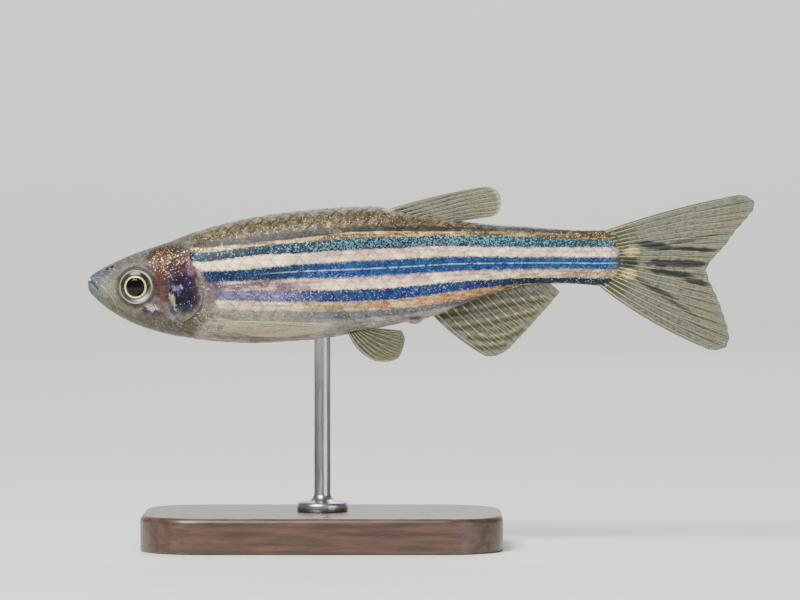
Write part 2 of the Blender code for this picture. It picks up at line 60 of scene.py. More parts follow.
def paint(red, green, blue, strength=0.5):
    """A colour as it should look, from 0 to 255, as linear values for the studio's bright light."""
    return tuple(strength * ((c / 255 + 0.055) / 1.055) ** 2.4 for c in (red, green, blue))


def bright(red, green, blue):
    """The same for the brightest finishes."""
    return paint(red, green, blue, 1.0)


# The fish's sizes, as in the solids
STANDARD_LENGTH = 36.0 * MM
TAIL_TIP_STATION = 123.5
JAW_TIP_X = -STANDARD_LENGTH * TAIL_TIP_STATION / 200
JAW_TIP_Z = 17.5 * MM
BACK = [
    (0.0, 0.0), (0.37, 1.1), (1.0, 2.05), (2.2, 2.8), (5.2, 4.35), (9.6, 6.2), (15.2, 8.05), (19.8, 9.85),
    (24.4, 11.2), (30.0, 12.5), (39.3, 13.8), (50.4, 14.6), (54.0, 14.55), (57.8, 13.55), (65.2, 12.4),
    (72.6, 11.5), (83.7, 10.7), (91.1, 10.2), (98.5, 10.2), (103.0, 9.9),
]
BELLY = [
    (0.0, 0.0), (0.37, -1.3), (1.3, -2.35), (2.2, -3.2), (5.2, -5.4), (9.6, -7.55), (15.2, -9.2),
    (22.6, -10.4), (30.0, -10.85), (37.4, -10.5), (44.8, -9.8), (50.4, -8.7), (57.8, -7.2), (63.5, -6.0),
    (68.9, -3.8), (76.3, -1.3), (81.0, -0.25), (87.4, 0.2), (94.8, -0.35), (98.5, -1.2), (103.0, -2.0),
]
HALF_WIDTH = [
    (0.0, 0.0), (0.37, 0.95), (1.0, 1.6), (2.2, 2.5), (5.2, 3.8), (9.6, 5.0), (14.3, 5.8), (20.7, 6.4),
    (28.0, 6.9), (36.0, 7.0), (45.0, 6.7), (54.0, 6.0), (63.0, 5.0), (72.6, 4.0), (83.7, 2.9), (93.0, 2.0),
    (98.5, 1.45), (103.0, 1.0),
]
WIDEST = [
    (0.0, 0.0), (9.6, -0.4), (20.0, -0.6), (30.0, 0.0), (40.0, 1.0), (57.8, 3.1), (76.3, 4.4), (103.0, 4.3),
]
ROUNDED_FROM = 90.0
BODY_END = 103.0
SQUARENESS = 2.3
GILL_EDGE = [
    (20.4, 16.0), (19.8, 9.8), (19.2, 6.4), (19.5, 4.2), (20.7, 0.9), (21.5, -1.3), (21.3, -3.3),
    (20.2, -5.2), (18.5, -6.6), (16.8, -9.4), (15.6, -14.0),
]
TAIL_EDGE = [
    (96.0, 16.0), (99.3, 9.6), (101.3, 7.0), (101.9, 4.3), (101.2, 1.6), (98.9, -0.6), (94.0, -6.0),
]
MOUTH_LINE = [(-1.4, 2.7), (0.4, 0.95), (2.1, -1.0)]
EYE_PLACE = (9.2, -0.25)
EYE_RADIUS = 1.14 * MM
EYE_DEPTH = 0.75 * MM
EYE_BULGE = 0.36 * MM
EYE_SINK = 0.06 * MM
EYE_TURN = math.radians(9)
NOSTRILS = [(3.7, 3.0), (4.6, 3.35)]
BARBELS = [[(1.5, 1.5), (2.4, 1.3), (3.3, 0.7)], [(2.5, 0.1), (3.9, -1.2), (5.1, -3.0), (5.9, -4.9)]]
BARBEL_RADII = (0.05 * MM, 0.06 * MM)
GILL_COVER_FRONT = [
    (23.0, 4.9), (19.0, 5.2), (16.4, 4.6), (15.2, 2.4), (14.9, -0.6), (15.3, -3.6), (16.6, -6.0),
    (23.0, -7.6),
]
COVER_REACH = 20
VENT_STATION = 61.6
VENT_RADIUS = 0.4 * MM
VENT_HOLLOW = (60.6, -6.1)
PECTORAL_FOLD = [(22.8, -5.4), (24.0, -5.2), (26.0, -5.9), (28.6, -6.4)]
UPPER_LOBE_EDGE = [
    (120.7, 16.75), (122.3, 16.4), (123.5, 15.2), (123.2, 13.9), (121.7, 12.0), (119.8, 9.8),
    (118.0, 7.3), (116.1, 5.2), (115.0, 3.9), (114.5, 2.75),
]
LOWER_LOBE_EDGE = [
    (115.2, -12.05), (116.9, -12.05), (118.1, -11.6), (118.8, -10.3), (118.7, -8.8), (117.7, -5.4),
    (116.5, -2.1), (115.2, 0.6), (114.5, 2.75),
]
FORK_ROOT_HEIGHT = 4.3
TAIL_FLESH_SHORT = 1.9
COAT_DEPTH = 0.055 * MM
DORSAL_ROOT = (54.5, 66.3)
DORSAL_EDGE = [(73.7, 18.25), (75.3, 17.9), (76.4, 16.6), (76.5, 14.7), (75.9, 13.3), (74.6, 12.6)]
ANAL_ROOT = (63.7, 85.2)
ANAL_EDGE = [
    (73.7, -13.25), (75.4, -13.2), (77.2, -12.4), (80.0, -9.7), (83.7, -5.6), (86.3, -2.6), (87.3, -1.1),
    (86.6, -0.75),
]
PELVIC_ROOT = (48.0, 50.6)
PELVIC_EDGE = [(53.4, -14.0), (55.9, -14.0), (57.4, -13.5), (58.4, -11.6), (58.7, -9.7), (58.1, -8.5)]
PELVIC_ROOT_SIDE = 0.8 * MM
PELVIC_SPREAD = math.radians(22)
PECTORAL_ROOT = [(23.0, -6.3), (22.8, -7.1), (23.2, -8.0)]
PECTORAL_EDGE = [(44.0, -6.9), (45.6, -7.2), (44.6, -8.0), (41.0, -8.9), (36.0, -9.4), (32.0, -9.4)]
PECTORAL_FLARE = math.radians(5)
BASE_SIZE = (24.0 * MM, 14.0 * MM, 2.4 * MM)
BASE_CORNER = 4.0 * MM
BASE_EDGE = 0.4 * MM
CORNER_POINTS = 17
ROD_STATION = 43.4
ROD_RADIUS = 0.55 * MM
ROD_FLANGE = (1.7 * MM, 0.6 * MM)

# The photo's view: its width in pixels and how many there are to a millimetre of the fish
PHOTO_WIDTH = 800
PIXELS_PER_MM = 15
VIEW_STATION = 57.78
VIEW_HEIGHT = 16.5 * MM
VIEW_RISE = math.radians(1.5)
SENSOR_WIDTH = 36.0

# Borders of the stripes: heights at these stations, from the back down
STRIPE_STATIONS = (22.6, 30.0, 39.3, 48.5, 57.8, 67.0, 76.3, 85.6, 94.8)
STRIPE_BORDERS = [
    (7.9, 8.9, 10.0, 10.7, 10.9, 10.9, 10.6, 10.4, 10.1),
    (7.0, 7.8, 8.7, 9.8, 10.0, 10.0, 10.0, 10.0, 9.9),
    (6.3, 7.2, 8.15, 8.9, 9.1, 9.4, 9.3, 8.7, 8.3),
    (4.3, 5.4, 5.9, 6.5, 6.85, 7.2, 7.0, 7.0, 7.0),
    (2.8, 3.15, 4.1, 4.6, 5.0, 5.4, 5.4, 5.3, 5.2),
    (0.55, 0.9, 1.2, 1.4, 1.85, 2.5, 2.8, 3.0, 2.9),
    (-1.1, -0.75, -0.8, -0.65, -0.2, 0.65, 1.2, 1.4, 1.2),
    (-2.6, -2.9, -3.05, -2.95, -2.5, -1.3, -0.2, 0.4, 0.0),
    (-4.3, -4.5, -4.7, -4.7, -4.3, -3.1, -1.6, -1.5, -1.5),
    (-5.2, -5.6, -6.1, -6.1, -5.4, -3.9, -2.0, -2.0, -2.0),
]
BANDS = len(STRIPE_BORDERS) + 1
RIPPLE_WAVES = 14
RAY_SIDES = 6

# The scales: rows from the belly up, stations they lie between, and corners along and across each
SCALE_ROWS = range(-11, 12)
SCALES_FROM = 16.0
SCALES_TO = 99.5
SCALE_U, SCALE_W = np.meshgrid(
    [-1.0, -0.5, -0.1, 0.2, 0.45, 0.65, 0.83, 1.0], np.sin(np.linspace(-0.5 * math.pi, 0.5 * math.pi, 9)),
    indexing="ij",
)
SCALE_MIDDLE = (3, 4)
SCALE_SINK = 0.02 * MM
SCALE_THICKNESS = 0.012 * MM
GIRTH_RINGS = 178
GIRTH_SPOKES = 241
DEEPEST_RING = 40


def share(amount):
    """Hundredths of the fish's length, in metres."""
    return amount * STANDARD_LENGTH / 100


def hundredths(metres):
    """Metres, in hundredths of the fish's length."""
    return metres * 100 / STANDARD_LENGTH


def x_at(station):
    """Where a station is along X, in metres."""
    return JAW_TIP_X + share(station)


def z_at(height):
    """How high above the floor a height is, in metres."""
    return JAW_TIP_Z + share(height)


def smooth(knots, values, where):
    """A smooth curve through values, which may be numbers or points, read at where."""
    knots = np.asarray(knots, float)
    values = np.asarray(values, float).reshape(len(knots), -1)
    where = np.clip(np.atleast_1d(np.asarray(where, float)), knots[0], knots[-1])
    steps = np.diff(knots)[:, None]
    rises = np.diff(values, axis=0) / steps
    inner = (steps[1:] * rises[:-1] + steps[:-1] * rises[1:]) / (steps[1:] + steps[:-1])
    slopes = np.vstack([rises[:1], inner, rises[-1:]])
    i = np.clip(np.searchsorted(knots, where, side="right") - 1, 0, len(knots) - 2)
    h = steps[i]
    t = (where - knots[i])[:, None] / h
    start = values[i] * (1 + 2 * t) * (1 - t) ** 2 + slopes[i] * h * t * (1 - t) ** 2
    end = values[i + 1] * t * t * (3 - 2 * t) + slopes[i + 1] * h * t * t * (t - 1)
    return start + end


def profile(table):
    """A function that reads a smooth curve through (station, value) pairs, blunt at the jaw's tip."""
    knots = [math.sqrt(station) for station, _ in table]
    values = [value for _, value in table]

    def read(station):
        station = np.asarray(station, float)
        found = smooth(knots, values, np.sqrt(np.maximum(station.ravel(), 0)))
        return found[:, 0].reshape(station.shape)

    return read


back = profile(BACK)
belly = profile(BELLY)
half_width = profile(HALF_WIDTH)
widest = profile(WIDEST)


def flank(station, height):
    """How far the skin is from the middle of the fish, in hundredths."""
    middle = widest(station)
    reach = np.where(height > middle, back(station) - middle, middle - belly(station))
    part = np.clip(np.abs(height - middle) / np.maximum(reach, 1e-6), 0, 1)
    return half_width(station) * (1 - part**SQUARENESS) ** (1 / SQUARENESS)


def along_curve(points, shares):
    """Points on a smooth curve through the given ones, at shares of its length."""
    points = np.asarray(points, float)
    reach = np.concatenate([[0], np.cumsum(np.linalg.norm(np.diff(points, axis=0), axis=1))])
    return smooth(reach, points, np.asarray(shares) * reach[-1])


def even_curve(points, count):
    """A number of evenly spaced points on a smooth curve through the given ones."""
    return along_curve(points, np.linspace(0, 1, count))


def beside(line, distance):
    """A (station, height) line moved sideways by a distance in metres, to the left of its direction."""
    line = np.asarray(line, float)
    way = np.gradient(line, axis=0)
    way /= np.linalg.norm(way, axis=1)[:, None]
    return line + np.column_stack([-way[:, 1], way[:, 0]]) * hundredths(distance)


def ease(value, low, high):
    """0 below low, 1 above high, and a soft rise between."""
    t = np.clip((np.asarray(value, float) - low) / (high - low), 0, 1)
    return t * t * (3 - 2 * t)


def within(value, start, full, fading, gone):
    """0 outside a stretch and 1 inside it, with a soft rise and a soft fall."""
    return ease(value, start, full) * (1 - ease(value, fading, gone))


def bump(value, centre, width):
    """1 at the centre, falling softly to 0 on both sides."""
    return np.exp(-(((value - centre) / width) ** 2))


def units(vectors):
    """Vectors of length 1 with the same directions."""
    return vectors / np.maximum(np.linalg.norm(vectors, axis=-1, keepdims=True), 1e-12)


def line_distance(station, height, line):
    """How far points are from a line, plus to its left and minus to its right, and how far along it."""
    line = np.asarray(line, float)
    best = np.full(station.shape, 1e9)
    side = np.ones(station.shape)
    along = np.zeros(station.shape)
    steps = np.linalg.norm(np.diff(line, axis=0), axis=1)
    reach = np.concatenate([[0], np.cumsum(steps)])
    for i, (start, end) in enumerate(zip(line[:-1], line[1:])):
        way = (end - start) / steps[i]
        ds, dh = station - start[0], height - start[1]
        t = np.clip(ds * way[0] + dh * way[1], 0, steps[i])
        away = np.hypot(ds - t * way[0], dh - t * way[1])
        near = away < best
        best = np.where(near, away, best)
        side = np.where(near, np.sign(way[0] * dh - way[1] * ds), side)
        along = np.where(near, (reach[i] + t) / reach[-1], along)
    return best * side, along


def ripples(station, height, size, seed):
    """A soft random field between about -1 and 1, with features of a size in hundredths."""
    draw = np.random.default_rng(seed)
    total = np.zeros(np.shape(station))
    for _ in range(RIPPLE_WAVES):
        turn = draw.uniform(0, 2 * math.pi)
        wave = 2 * math.pi / (size * draw.uniform(0.7, 1.6))
        phase = draw.uniform(0, 2 * math.pi)
        total = total + np.sin(wave * (station * math.cos(turn) + height * math.sin(turn)) + phase)
    return total / math.sqrt(RIPPLE_WAVES)


# Building meshes


def add_values(mesh, key, values):
    """Numbers or colours at the corners of a mesh, for its material to read."""
    values = np.asarray(values, np.float32)
    if values.ndim == 2:
        layer = mesh.attributes.new(key, "FLOAT_COLOR", "POINT")
        filled = np.column_stack([values, np.ones(len(values), np.float32)])
        layer.data.foreach_set("color", filled.ravel())
    else:
        layer = mesh.attributes.new(key, "FLOAT", "POINT")
        layer.data.foreach_set("value", values.ravel())


def make_mesh(name, points, faces, attributes=None, uvs=None):
    """A smooth piece from arrays: corners in space, faces, values at the corners, and its unwrap."""
    mesh = bpy.data.meshes.new(name)
    mesh.from_pydata(np.asarray(points, float).reshape(-1, 3).tolist(), [], faces)
    for key, values in (attributes or {}).items():
        add_values(mesh, key, values)
    if uvs is not None:
        layer = mesh.uv_layers.new(name="OFBake")
        layer.uv.foreach_set("vector", np.asarray(uvs, np.float32).ravel())
    mesh.shade_smooth()
    mesh.validate()
    obj = bpy.data.objects.new(name, mesh)
    bpy.context.scene.collection.objects.link(obj)
    return obj


def dress(obj, material, replaced=()):
    """Gives a piece its material, hangs it under the body's empty and hides the parts that it replaces."""
    obj.data.materials.append(material)
    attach(obj, BODY)
    if replaced:
        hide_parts(*replaced)
    return obj


def grid_faces(rows, columns, wrap=False):
    """Quads of a grid of corners, numbered row by row."""
    r, c = np.meshgrid(np.arange(rows - 1), np.arange(columns if wrap else columns - 1), indexing="ij")
    n = (c + 1) % columns
    return np.stack([r * columns + c, r * columns + n, (r + 1) * columns + n, (r + 1) * columns + c], -1)


def thin_faces(rows, columns):
    """Faces of a closed sheet: its front grid, its rear grid after it, and the rim that joins them."""
    front = grid_faces(rows, columns).reshape(-1, 4)
    other = rows * columns
    numbers = np.arange(other).reshape(rows, columns)
    rim = np.concatenate([numbers[0], numbers[1:, -1], numbers[-1, -2::-1], numbers[-2:0:-1, 0]])
    onward = np.roll(rim, -1)
    sides = np.column_stack([onward, rim, rim + other, onward + other])
    return np.concatenate([front, front[:, ::-1] + other, sides])


def tubes(paths, radii, normals, sides):
    """Closed round tubes along many paths at once: corners and faces."""
    count, steps, _ = paths.shape
    ways = units(np.gradient(paths, axis=1))
    up = units(normals - ways * (normals * ways).sum(-1, keepdims=True))
    across = np.cross(ways, up)
    angle = 2 * math.pi * np.arange(sides) / sides
    spokes = up[:, :, None] * np.cos(angle)[:, None] + across[:, :, None] * np.sin(angle)[:, None]
    points = paths[:, :, None] + spokes * radii[:, :, None, None]
    one = [tuple(face) for face in grid_faces(steps, sides, True).reshape(-1, 4)]
    one += [tuple(reversed(range(sides))), tuple(range((steps - 1) * sides, steps * sides))]
    faces = [tuple(int(i) + k * steps * sides for i in face) for k in range(count) for face in one]
    return points.reshape(-1, 3), faces


# Shader maths


def operator_pair(operation):
    """The methods for an operator and its reflected form, which add a Math node."""
    return (
        lambda self, other: self.maths(operation, self, other),
        lambda self, other: self.maths(operation, other, self),
    )


class Shade:
    """A number or a colour inside a material. Python's operators on it add the nodes."""

    __add__, __radd__ = operator_pair("ADD")
    __sub__, __rsub__ = operator_pair("SUBTRACT")
    __mul__, __rmul__ = operator_pair("MULTIPLY")
    __truediv__, __rtruediv__ = operator_pair("DIVIDE")

    def __init__(self, tree, socket=None):
        self.tree = tree
        self.socket = socket

    def plug(self, value, target):
        """Gives a socket a link, a colour or a number."""
        if isinstance(value, Shade):
            self.tree.links.new(value.socket, target)
        elif hasattr(value, "__len__") and len(value) == 3 and target.type == "RGBA":
            target.default_value = (*value, 1.0)
        else:
            target.default_value = value

    def node(self, kind, settings=None, inputs=None, output=0):
        """A node of a type, with its settings set first and then its sockets' values or links."""
        made = self.tree.nodes.new(kind)
        for key, value in (settings or {}).items():
            if key == "stops":
                fill_ramp(made.color_ramp, value)
            else:
                setattr(made, key, value)
        for key, value in (inputs or {}).items():
            self.plug(value, made.inputs[key])
        return Shade(self.tree, made.outputs[output])

    def maths(self, operation, *values):
        """A Math node on values or links."""
        return self.node("ShaderNodeMath", {"operation": operation}, dict(enumerate(values)))

    def ease(self, low, high):
        """0 below low, 1 above high, and a soft rise between."""
        settings = {"interpolation_type": "SMOOTHSTEP"}
        return self.node("ShaderNodeMapRange", settings, {"Value": self, "From Min": low, "From Max": high})

    def within(self, start, full, fading, gone):
        """0 outside a stretch and 1 inside it, with a soft rise and a soft fall."""
        return self.ease(start, full) * (1 - self.ease(fading, gone))

    def mix(self, low, high):
        """The colour low where this is 0 and high where it is 1."""
        return self.node("ShaderNodeMix", {"data_type": "RGBA"}, {0: self, 6: low, 7: high}, 2)

    def scaled(self, factor):
        """This colour, brighter or darker by a factor."""
        return self.node("ShaderNodeVectorMath", {"operation": "SCALE"}, {0: self, "Scale": factor})

    def ramp(self, stops):
        """Colours by this number, from (place, colour) stops."""
        return self.node("ShaderNodeValToRGB", {"stops": stops}, {"Fac": self})

    def channel(self, index):
        """One of a colour's three parts as a number."""
        return self.node("ShaderNodeSeparateColor", None, {"Color": self}, index)

    def attribute(self, name, colour=False):
        """What the mesh holds under a name, as a number or a colour."""
        settings = {"attribute_type": "GEOMETRY", "attribute_name": name}
        return self.node("ShaderNodeAttribute", settings, None, 0 if colour else 2)

    def place(self):
        """The place in space, in metres."""
        return self.node("ShaderNodeTexCoord", None, None, "Object")

    def noise(self, size, detail=2.0, where=None):
        """Soft noise from 0 to 1, with features of a size in metres."""
        inputs = {"Vector": where or self.place(), "Scale": 1 / size, "Detail": detail}
        return self.node("ShaderNodeTexNoise", None, inputs)

    def grain(self, fineness, detail=2.0):
        """Noise drawn out in one direction, from its fineness along each axis."""
        where = self.node("ShaderNodeVectorMath", {"operation": "MULTIPLY"}, {0: self.place(), 1: fineness})
        return self.noise(1.0, detail, where)

    def cells(self, size):
        """Random cells of a size in metres, each with a colour of its own."""
        inputs = {"Vector": self.place(), "Scale": 1 / size}
        return self.node("ShaderNodeTexVoronoi", None, inputs, "Color")


def fill_ramp(ramp, stops):
    """Colour stops of (place, colour), in order."""
    while len(ramp.elements) > 1:
        ramp.elements.remove(ramp.elements[-1])
    ramp.elements[0].position = stops[0][0]
    ramp.elements[0].color = (*stops[0][1], 1)
    for place, colour in stops[1:]:
        ramp.elements.new(place).color = (*colour, 1)


def layered(base, *layers):
    """A colour with others laid over it in turn, given as (mask, colour)."""
    for mask, colour in layers:
        base = mask.mix(base, colour)
    return base


def grey(value):
    """A colour with three equal parts."""
    return (value, value, value)


def material(name, looks):
    """A material whose shader's sockets are set by a function of the material's start."""
    made = bpy.data.materials.new(name)
    made.use_nodes = True
    start = Shade(made.node_tree)
    shader = made.node_tree.nodes["Principled BSDF"]
    for key, value in looks(start).items():
        start.plug(value, shader.inputs[key])
    return made


def bumped(start, height, depth):
    """A normal from heights of 0 to 1, which stand for a depth in metres."""
    return start.node("ShaderNodeBump", None, {"Height": height, "Strength": 1.0, "Distance": depth})


# The body's surface


def tail_edge(height):
    """The station of the tail fin's root at a height."""
    stations, heights = zip(*reversed(TAIL_EDGE))
    return np.interp(height, heights, stations)


def body_point(station, angle):
    """Station, distance to the side and height, in hundredths. The angle is 0 on the right flank."""
    c, s = np.cos(angle), np.sin(angle)
    rise = np.sign(s) * np.abs(s) ** (2 / SQUARENESS)

    def height_at(where):
        """The height of the angle's point at a station."""
        middle = widest(where)
        return middle + rise * np.where(s > 0, back(where) - middle, middle - belly(where))

    end = tail_edge(height_at(station)) - TAIL_FLESH_SHORT
    late = np.clip((station - ROUNDED_FROM) / (BODY_END - ROUNDED_FROM), 0, 1)
    station = np.where(late > 0, ROUNDED_FROM + late * (end - ROUNDED_FROM), station)
    closing = 0.06 + 0.94 * (1 - ease(late, 0.3, 1.0))
    side = half_width(station) * closing * np.sign(c) * np.abs(c) ** (2 / SQUARENESS)
    return station, side, height_at(station)


def body_space(station, angle):
    """A point of the plain body in space."""
    station, side, height = body_point(station, angle)
    return np.stack([x_at(station), share(side), z_at(height)], -1)


def body_normal(station, angle):
    """The direction that the plain body faces at a point."""
    step = 0.02
    ahead = body_space(station + step, angle) - body_space(station - step, angle)
    up = body_space(station, angle + step) - body_space(station, angle - step)
    return units(np.cross(up, ahead))


def eye_frame(side):
    """The centre of the eye's widest circle, and the direction it looks in."""
    skin = share(float(flank(*EYE_PLACE)))
    centre = np.array([x_at(EYE_PLACE[0]), side * (skin - EYE_SINK), z_at(EYE_PLACE[1])])
    return centre, np.array([-math.sin(EYE_TURN), side * math.cos(EYE_TURN), 0.0])


GILL_LINE = even_curve(GILL_EDGE, 60)
COVER_LINE = even_curve(GILL_COVER_FRONT, 50)
CHEEK_LINE = even_curve([(12.2, 6.6), (13.3, 4.2), (13.4, 1.0), (13.0, -2.4), (11.8, -4.6), (9.0, -5.9)], 40)
JAW_LINE = even_curve([(2.3, -1.3), (3.6, -2.9), (6.0, -4.6), (9.0, -6.1), (12.6, -7.2)], 30)
MOUTH = even_curve(MOUTH_LINE, 30)


def taper(along):
    """1 in the middle of a line and 0 at both its ends."""
    return np.sin(math.pi * along) ** 0.5


def gill_distance(station, height):
    """How far ahead of the gill cover's rear edge a point is, in hundredths."""
    return -line_distance(station, height, GILL_LINE)[0]


def face_relief(station, height):
    """How far the skin of the head stands out, in metres: lips, cheek, gill cover and jaw."""
    gill = gill_distance(station, height)
    cover = np.where(gill > 0, 0.10 * np.exp(-np.maximum(gill, 0) / 3.0), 0)
    groove = np.where(gill <= 0, -0.03 * bump(gill, -0.15, 0.35), 0)
    rise = (cover + groove) * within(height, -9.5, -5.0, 4.6, 7.0)
    front, _ = line_distance(station, height, COVER_LINE)
    rise += (0.03 * bump(front, 0.8, 0.6) - 0.05 * bump(front, 0.0, 0.28)) * (station < COVER_REACH)
    cheek, along = line_distance(station, height, CHEEK_LINE)
    rise += (0.03 * bump(cheek, 0.6, 0.5) - 0.045 * bump(cheek, 0.0, 0.25)) * taper(along)
    jaw, along = line_distance(station, height, JAW_LINE)
    rise += -0.04 * bump(jaw, 0.0, 0.2) * taper(0.1 + 0.9 * along)
    cleft, along = line_distance(station, height, MOUTH)
    near = ease(2.4 - station, 0.0, 0.5) * (1 - ease(along, 0.9, 1.0))
    rise += near * (0.06 * bump(np.abs(cleft), 0.42, 0.26) - 0.13 * bump(cleft, 0.0, 0.16))
    rays = np.cos(2 * math.pi * (height - FORK_ROOT_HEIGHT) / 0.6)
    rise += 0.012 * rays * ease(station, 96.5, 98.5)
    return rise * MM


def painted_crease_shade(station, height):
    """How much painted shade lies in the creases: 1 in the grooves of the mouth, jaw, cheek, gill cover and
    pectoral fold, in the vent's hollow, the nostrils and the ring around the eye, and 0 away from them.
    """
    lines = (COVER_LINE, CHEEK_LINE, JAW_LINE, MOUTH, PECTORAL_FOLD)
    found = [line_distance(station, height, line) for line in lines]
    (front, _), (cheek, cheek_along), (jaw, jaw_along), (cleft, cleft_along), (fold, fold_along) = found
    hollow = np.hypot((station - VENT_HOLLOW[0]) / 1.5, (height - VENT_HOLLOW[1]) / 0.42)
    from_eye = share(np.hypot(station - EYE_PLACE[0], height - EYE_PLACE[1])) / EYE_RADIUS
    depths = [
        0.16 * bump(gill_distance(station, height), -0.1, 0.24) * within(height, -7.5, -4.0, 3.0, 5.0),
        0.4 * bump(front, 0, 0.2) * (station < COVER_REACH),
        0.35 * bump(cheek, 0, 0.2) * taper(cheek_along),
        0.3 * bump(jaw, 0, 0.18) * taper(jaw_along),
        0.9 * bump(cleft, 0, 0.17) * (1 - ease(cleft_along, 0.93, 1)) * (station < 2.3),
        0.75 * bump(fold, 0, 0.17) * taper(fold_along),
        0.85 * (1 - ease(hollow, 0.6, 1.2)),
        0.7 * bump(from_eye, 1.1, 0.12),
    ]
    depths += [bump(np.hypot(station - s, height - h), 0, 0.3) for s, h in NOSTRILS]
    return np.maximum.reduce(depths)


def sink_eye(points, side):
    """The socket of an eye pressed into the skin, with a fine rim around it."""
    centre, look = eye_frame(side)
    q = points - centre
    along = q @ look
    flat = q - along[..., None] * look
    r = np.linalg.norm(flat, axis=-1)
    near = (r < 2.0 * MM) & (points[..., 1] * side > 0)
    snap = near & (np.abs(r - EYE_RADIUS) < 0.035 * MM)
    flat = np.where(snap[..., None], flat * (EYE_RADIUS / np.maximum(r, 1e-9))[..., None], flat)
    r = np.where(snap, EYE_RADIUS, r)
    rim = 0.05 * bump(r / MM, 1.2, 0.07) - 0.035 * bump(r / MM, 1.42, 0.12)
    inside = ease(EYE_RADIUS - r, 0.0, 0.14 * MM)
    moved = (along + rim * MM) * (1 - inside) - 0.5 * MM * inside
    return np.where(near[..., None], centre + flat + moved[..., None] * look, points)


def sink_nostrils(points, side):
    """The nostrils of a side pressed into the skin, each with a low rim."""
    for station, height in NOSTRILS:
        skin = share(float(flank(station, height)))
        centre = np.array([x_at(station), side * skin, z_at(height)])
        r = np.linalg.norm(points - centre, axis=-1) / MM
        inward = units(np.array([0.0, -side, -0.55]))
        depth = 0.13 * np.exp(-((r / 0.1) ** 4)) - 0.05 * bump(r, 0.19, 0.06)
        near = (r < 0.5) & (points[..., 1] * side > 0)
        points = np.where(near[..., None], points + (depth * MM)[..., None] * inward, points)
    return points


def swell_vent(points, station):
    """The short tube of the vent, pushed out of the belly's middle."""
    along = (station - (VENT_STATION - 3.4)) / 4.2
    swelling = np.sin(math.pi * np.clip(along, 0, 1) ** 1.6) ** 0.6
    radius = VENT_RADIUS * np.where((along > 0) & (along < 1), swelling, 0)
    y = points[..., 1]
    centre = z_at(belly(station)) + 0.45 * VENT_RADIUS
    bottom = centre - np.sqrt(np.maximum(radius**2 - y**2, 0))
    low = (np.abs(y) < radius) & (points[..., 2] < z_at(belly(station)) + 0.5 * MM)
    points = points.copy()
    points[..., 2] = np.where(low, np.minimum(points[..., 2], bottom), points[..., 2])
    return points


# Markings


def band_of(station, height):
    """Which stripe a point lies in, as a number that counts the borders above it."""
    where = np.clip(station, STRIPE_STATIONS[0], STRIPE_STATIONS[-1])
    shape = station.shape
    borders = [smooth(STRIPE_STATIONS, b, where.ravel())[:, 0].reshape(shape) for b in STRIPE_BORDERS]
    lines = [back(station) + 0.3, *borders, np.minimum(belly(station), borders[-1]) - 0.3]
    band = np.zeros(shape)
    for upper, lower in zip(lines[:-1], lines[1:]):
        band += np.clip((upper - height) / np.maximum(upper - lower, 0.05), 0, 1)
    return band


# Soft patches of colour on the head: station, height, half length, half height, tilt, colour, strength
HEAD_PATCHES = [
    (1.5, -0.5, 3.2, 4.0, 0, (140, 160, 166), 0.9),
    (3.5, 3.2, 4.5, 1.3, 28, (122, 130, 140), 0.85),
    (9.0, 5.2, 6.0, 1.2, 20, (136, 138, 132), 0.8),
    (4.6, -0.6, 2.4, 1.9, 0, (192, 192, 158), 0.75),
    (8.0, -5.2, 6.5, 2.2, -22, (164, 156, 136), 0.8),
    (14.2, 4.8, 3.4, 2.6, 10, (92, 62, 46), 0.92),
    (17.0, 4.8, 2.8, 2.6, 0, (80, 54, 48), 0.92),
    (17.5, 1.9, 2.8, 2.2, -10, (100, 66, 76), 0.88),
    (13.8, 0.2, 1.3, 4.4, 6, (122, 78, 76), 0.92),
    (13.2, -4.2, 1.6, 2.2, 20, (152, 124, 134), 0.7),
    (12.0, -4.9, 1.9, 0.8, -12, (92, 62, 118), 0.85),
    (11.9, -3.9, 1.3, 0.5, -14, (232, 230, 236), 0.9),
    (17.9, -1.5, 2.7, 3.6, 14, (30, 28, 50), 0.98),
    (18.9, 1.0, 1.5, 1.6, -30, (66, 40, 82), 0.7),
    (20.3, -1.8, 0.7, 2.6, 10, (82, 52, 80), 0.8),
    (16.5, -0.4, 0.9, 0.55, -30, (150, 142, 206), 0.85),
    (17.6, -0.2, 0.35, 0.3, 0, (220, 208, 240), 0.8),
    (18.4, -3.8, 1.2, 0.6, 40, (34, 66, 104), 0.7),
    (16.2, -4.4, 0.9, 0.8, 30, (44, 104, 128), 0.85),
    (15.9, -2.4, 0.34, 1.2, 20, (240, 228, 200), 0.95),
    (16.5, -3.9, 0.26, 0.9, 12, (236, 226, 204), 0.95),
    (15.8, -6.0, 0.6, 0.4, 0, (220, 222, 226), 0.75),
    # The throat's own colour, darkened partly as painted shade where the head's underside turns from the
    # light above
    (13.5, -6.8, 4.4, 1.6, -12, (140, 132, 120), 0.85),
    (19.6, 3.3, 1.2, 1.4, 0, (160, 124, 146), 0.75),
    (15.6, 3.0, 1.3, 0.8, 20, (92, 62, 92), 0.6),
    (18.3, 4.4, 0.9, 1.3, 0, (100, 66, 82), 0.6),
    (13.0, 5.4, 1.0, 0.7, 0, (120, 88, 66), 0.5),
    (21.8, 3.0, 1.7, 1.1, 0, (214, 186, 182), 0.85),
    (23.0, -0.9, 2.2, 1.6, 0, (176, 150, 156), 0.85),
    (23.2, -3.9, 2.4, 1.8, 0, (178, 164, 152), 0.8),
]


# The same at the root of the tail fin
TAIL_PATCHES = [
    (99.2, 4.25, 2.0, 1.2, 0, (62, 66, 86), 0.85),
    (100.2, 6.2, 1.9, 0.9, 0, (220, 204, 150), 0.9),
    (99.9, 1.9, 1.6, 0.9, 0, (206, 188, 120), 0.9),
    (97.4, 5.9, 1.5, 0.9, 0, (196, 170, 176), 0.7),
    (98.0, 8.8, 2.4, 0.8, -20, (92, 92, 78), 0.8),
]


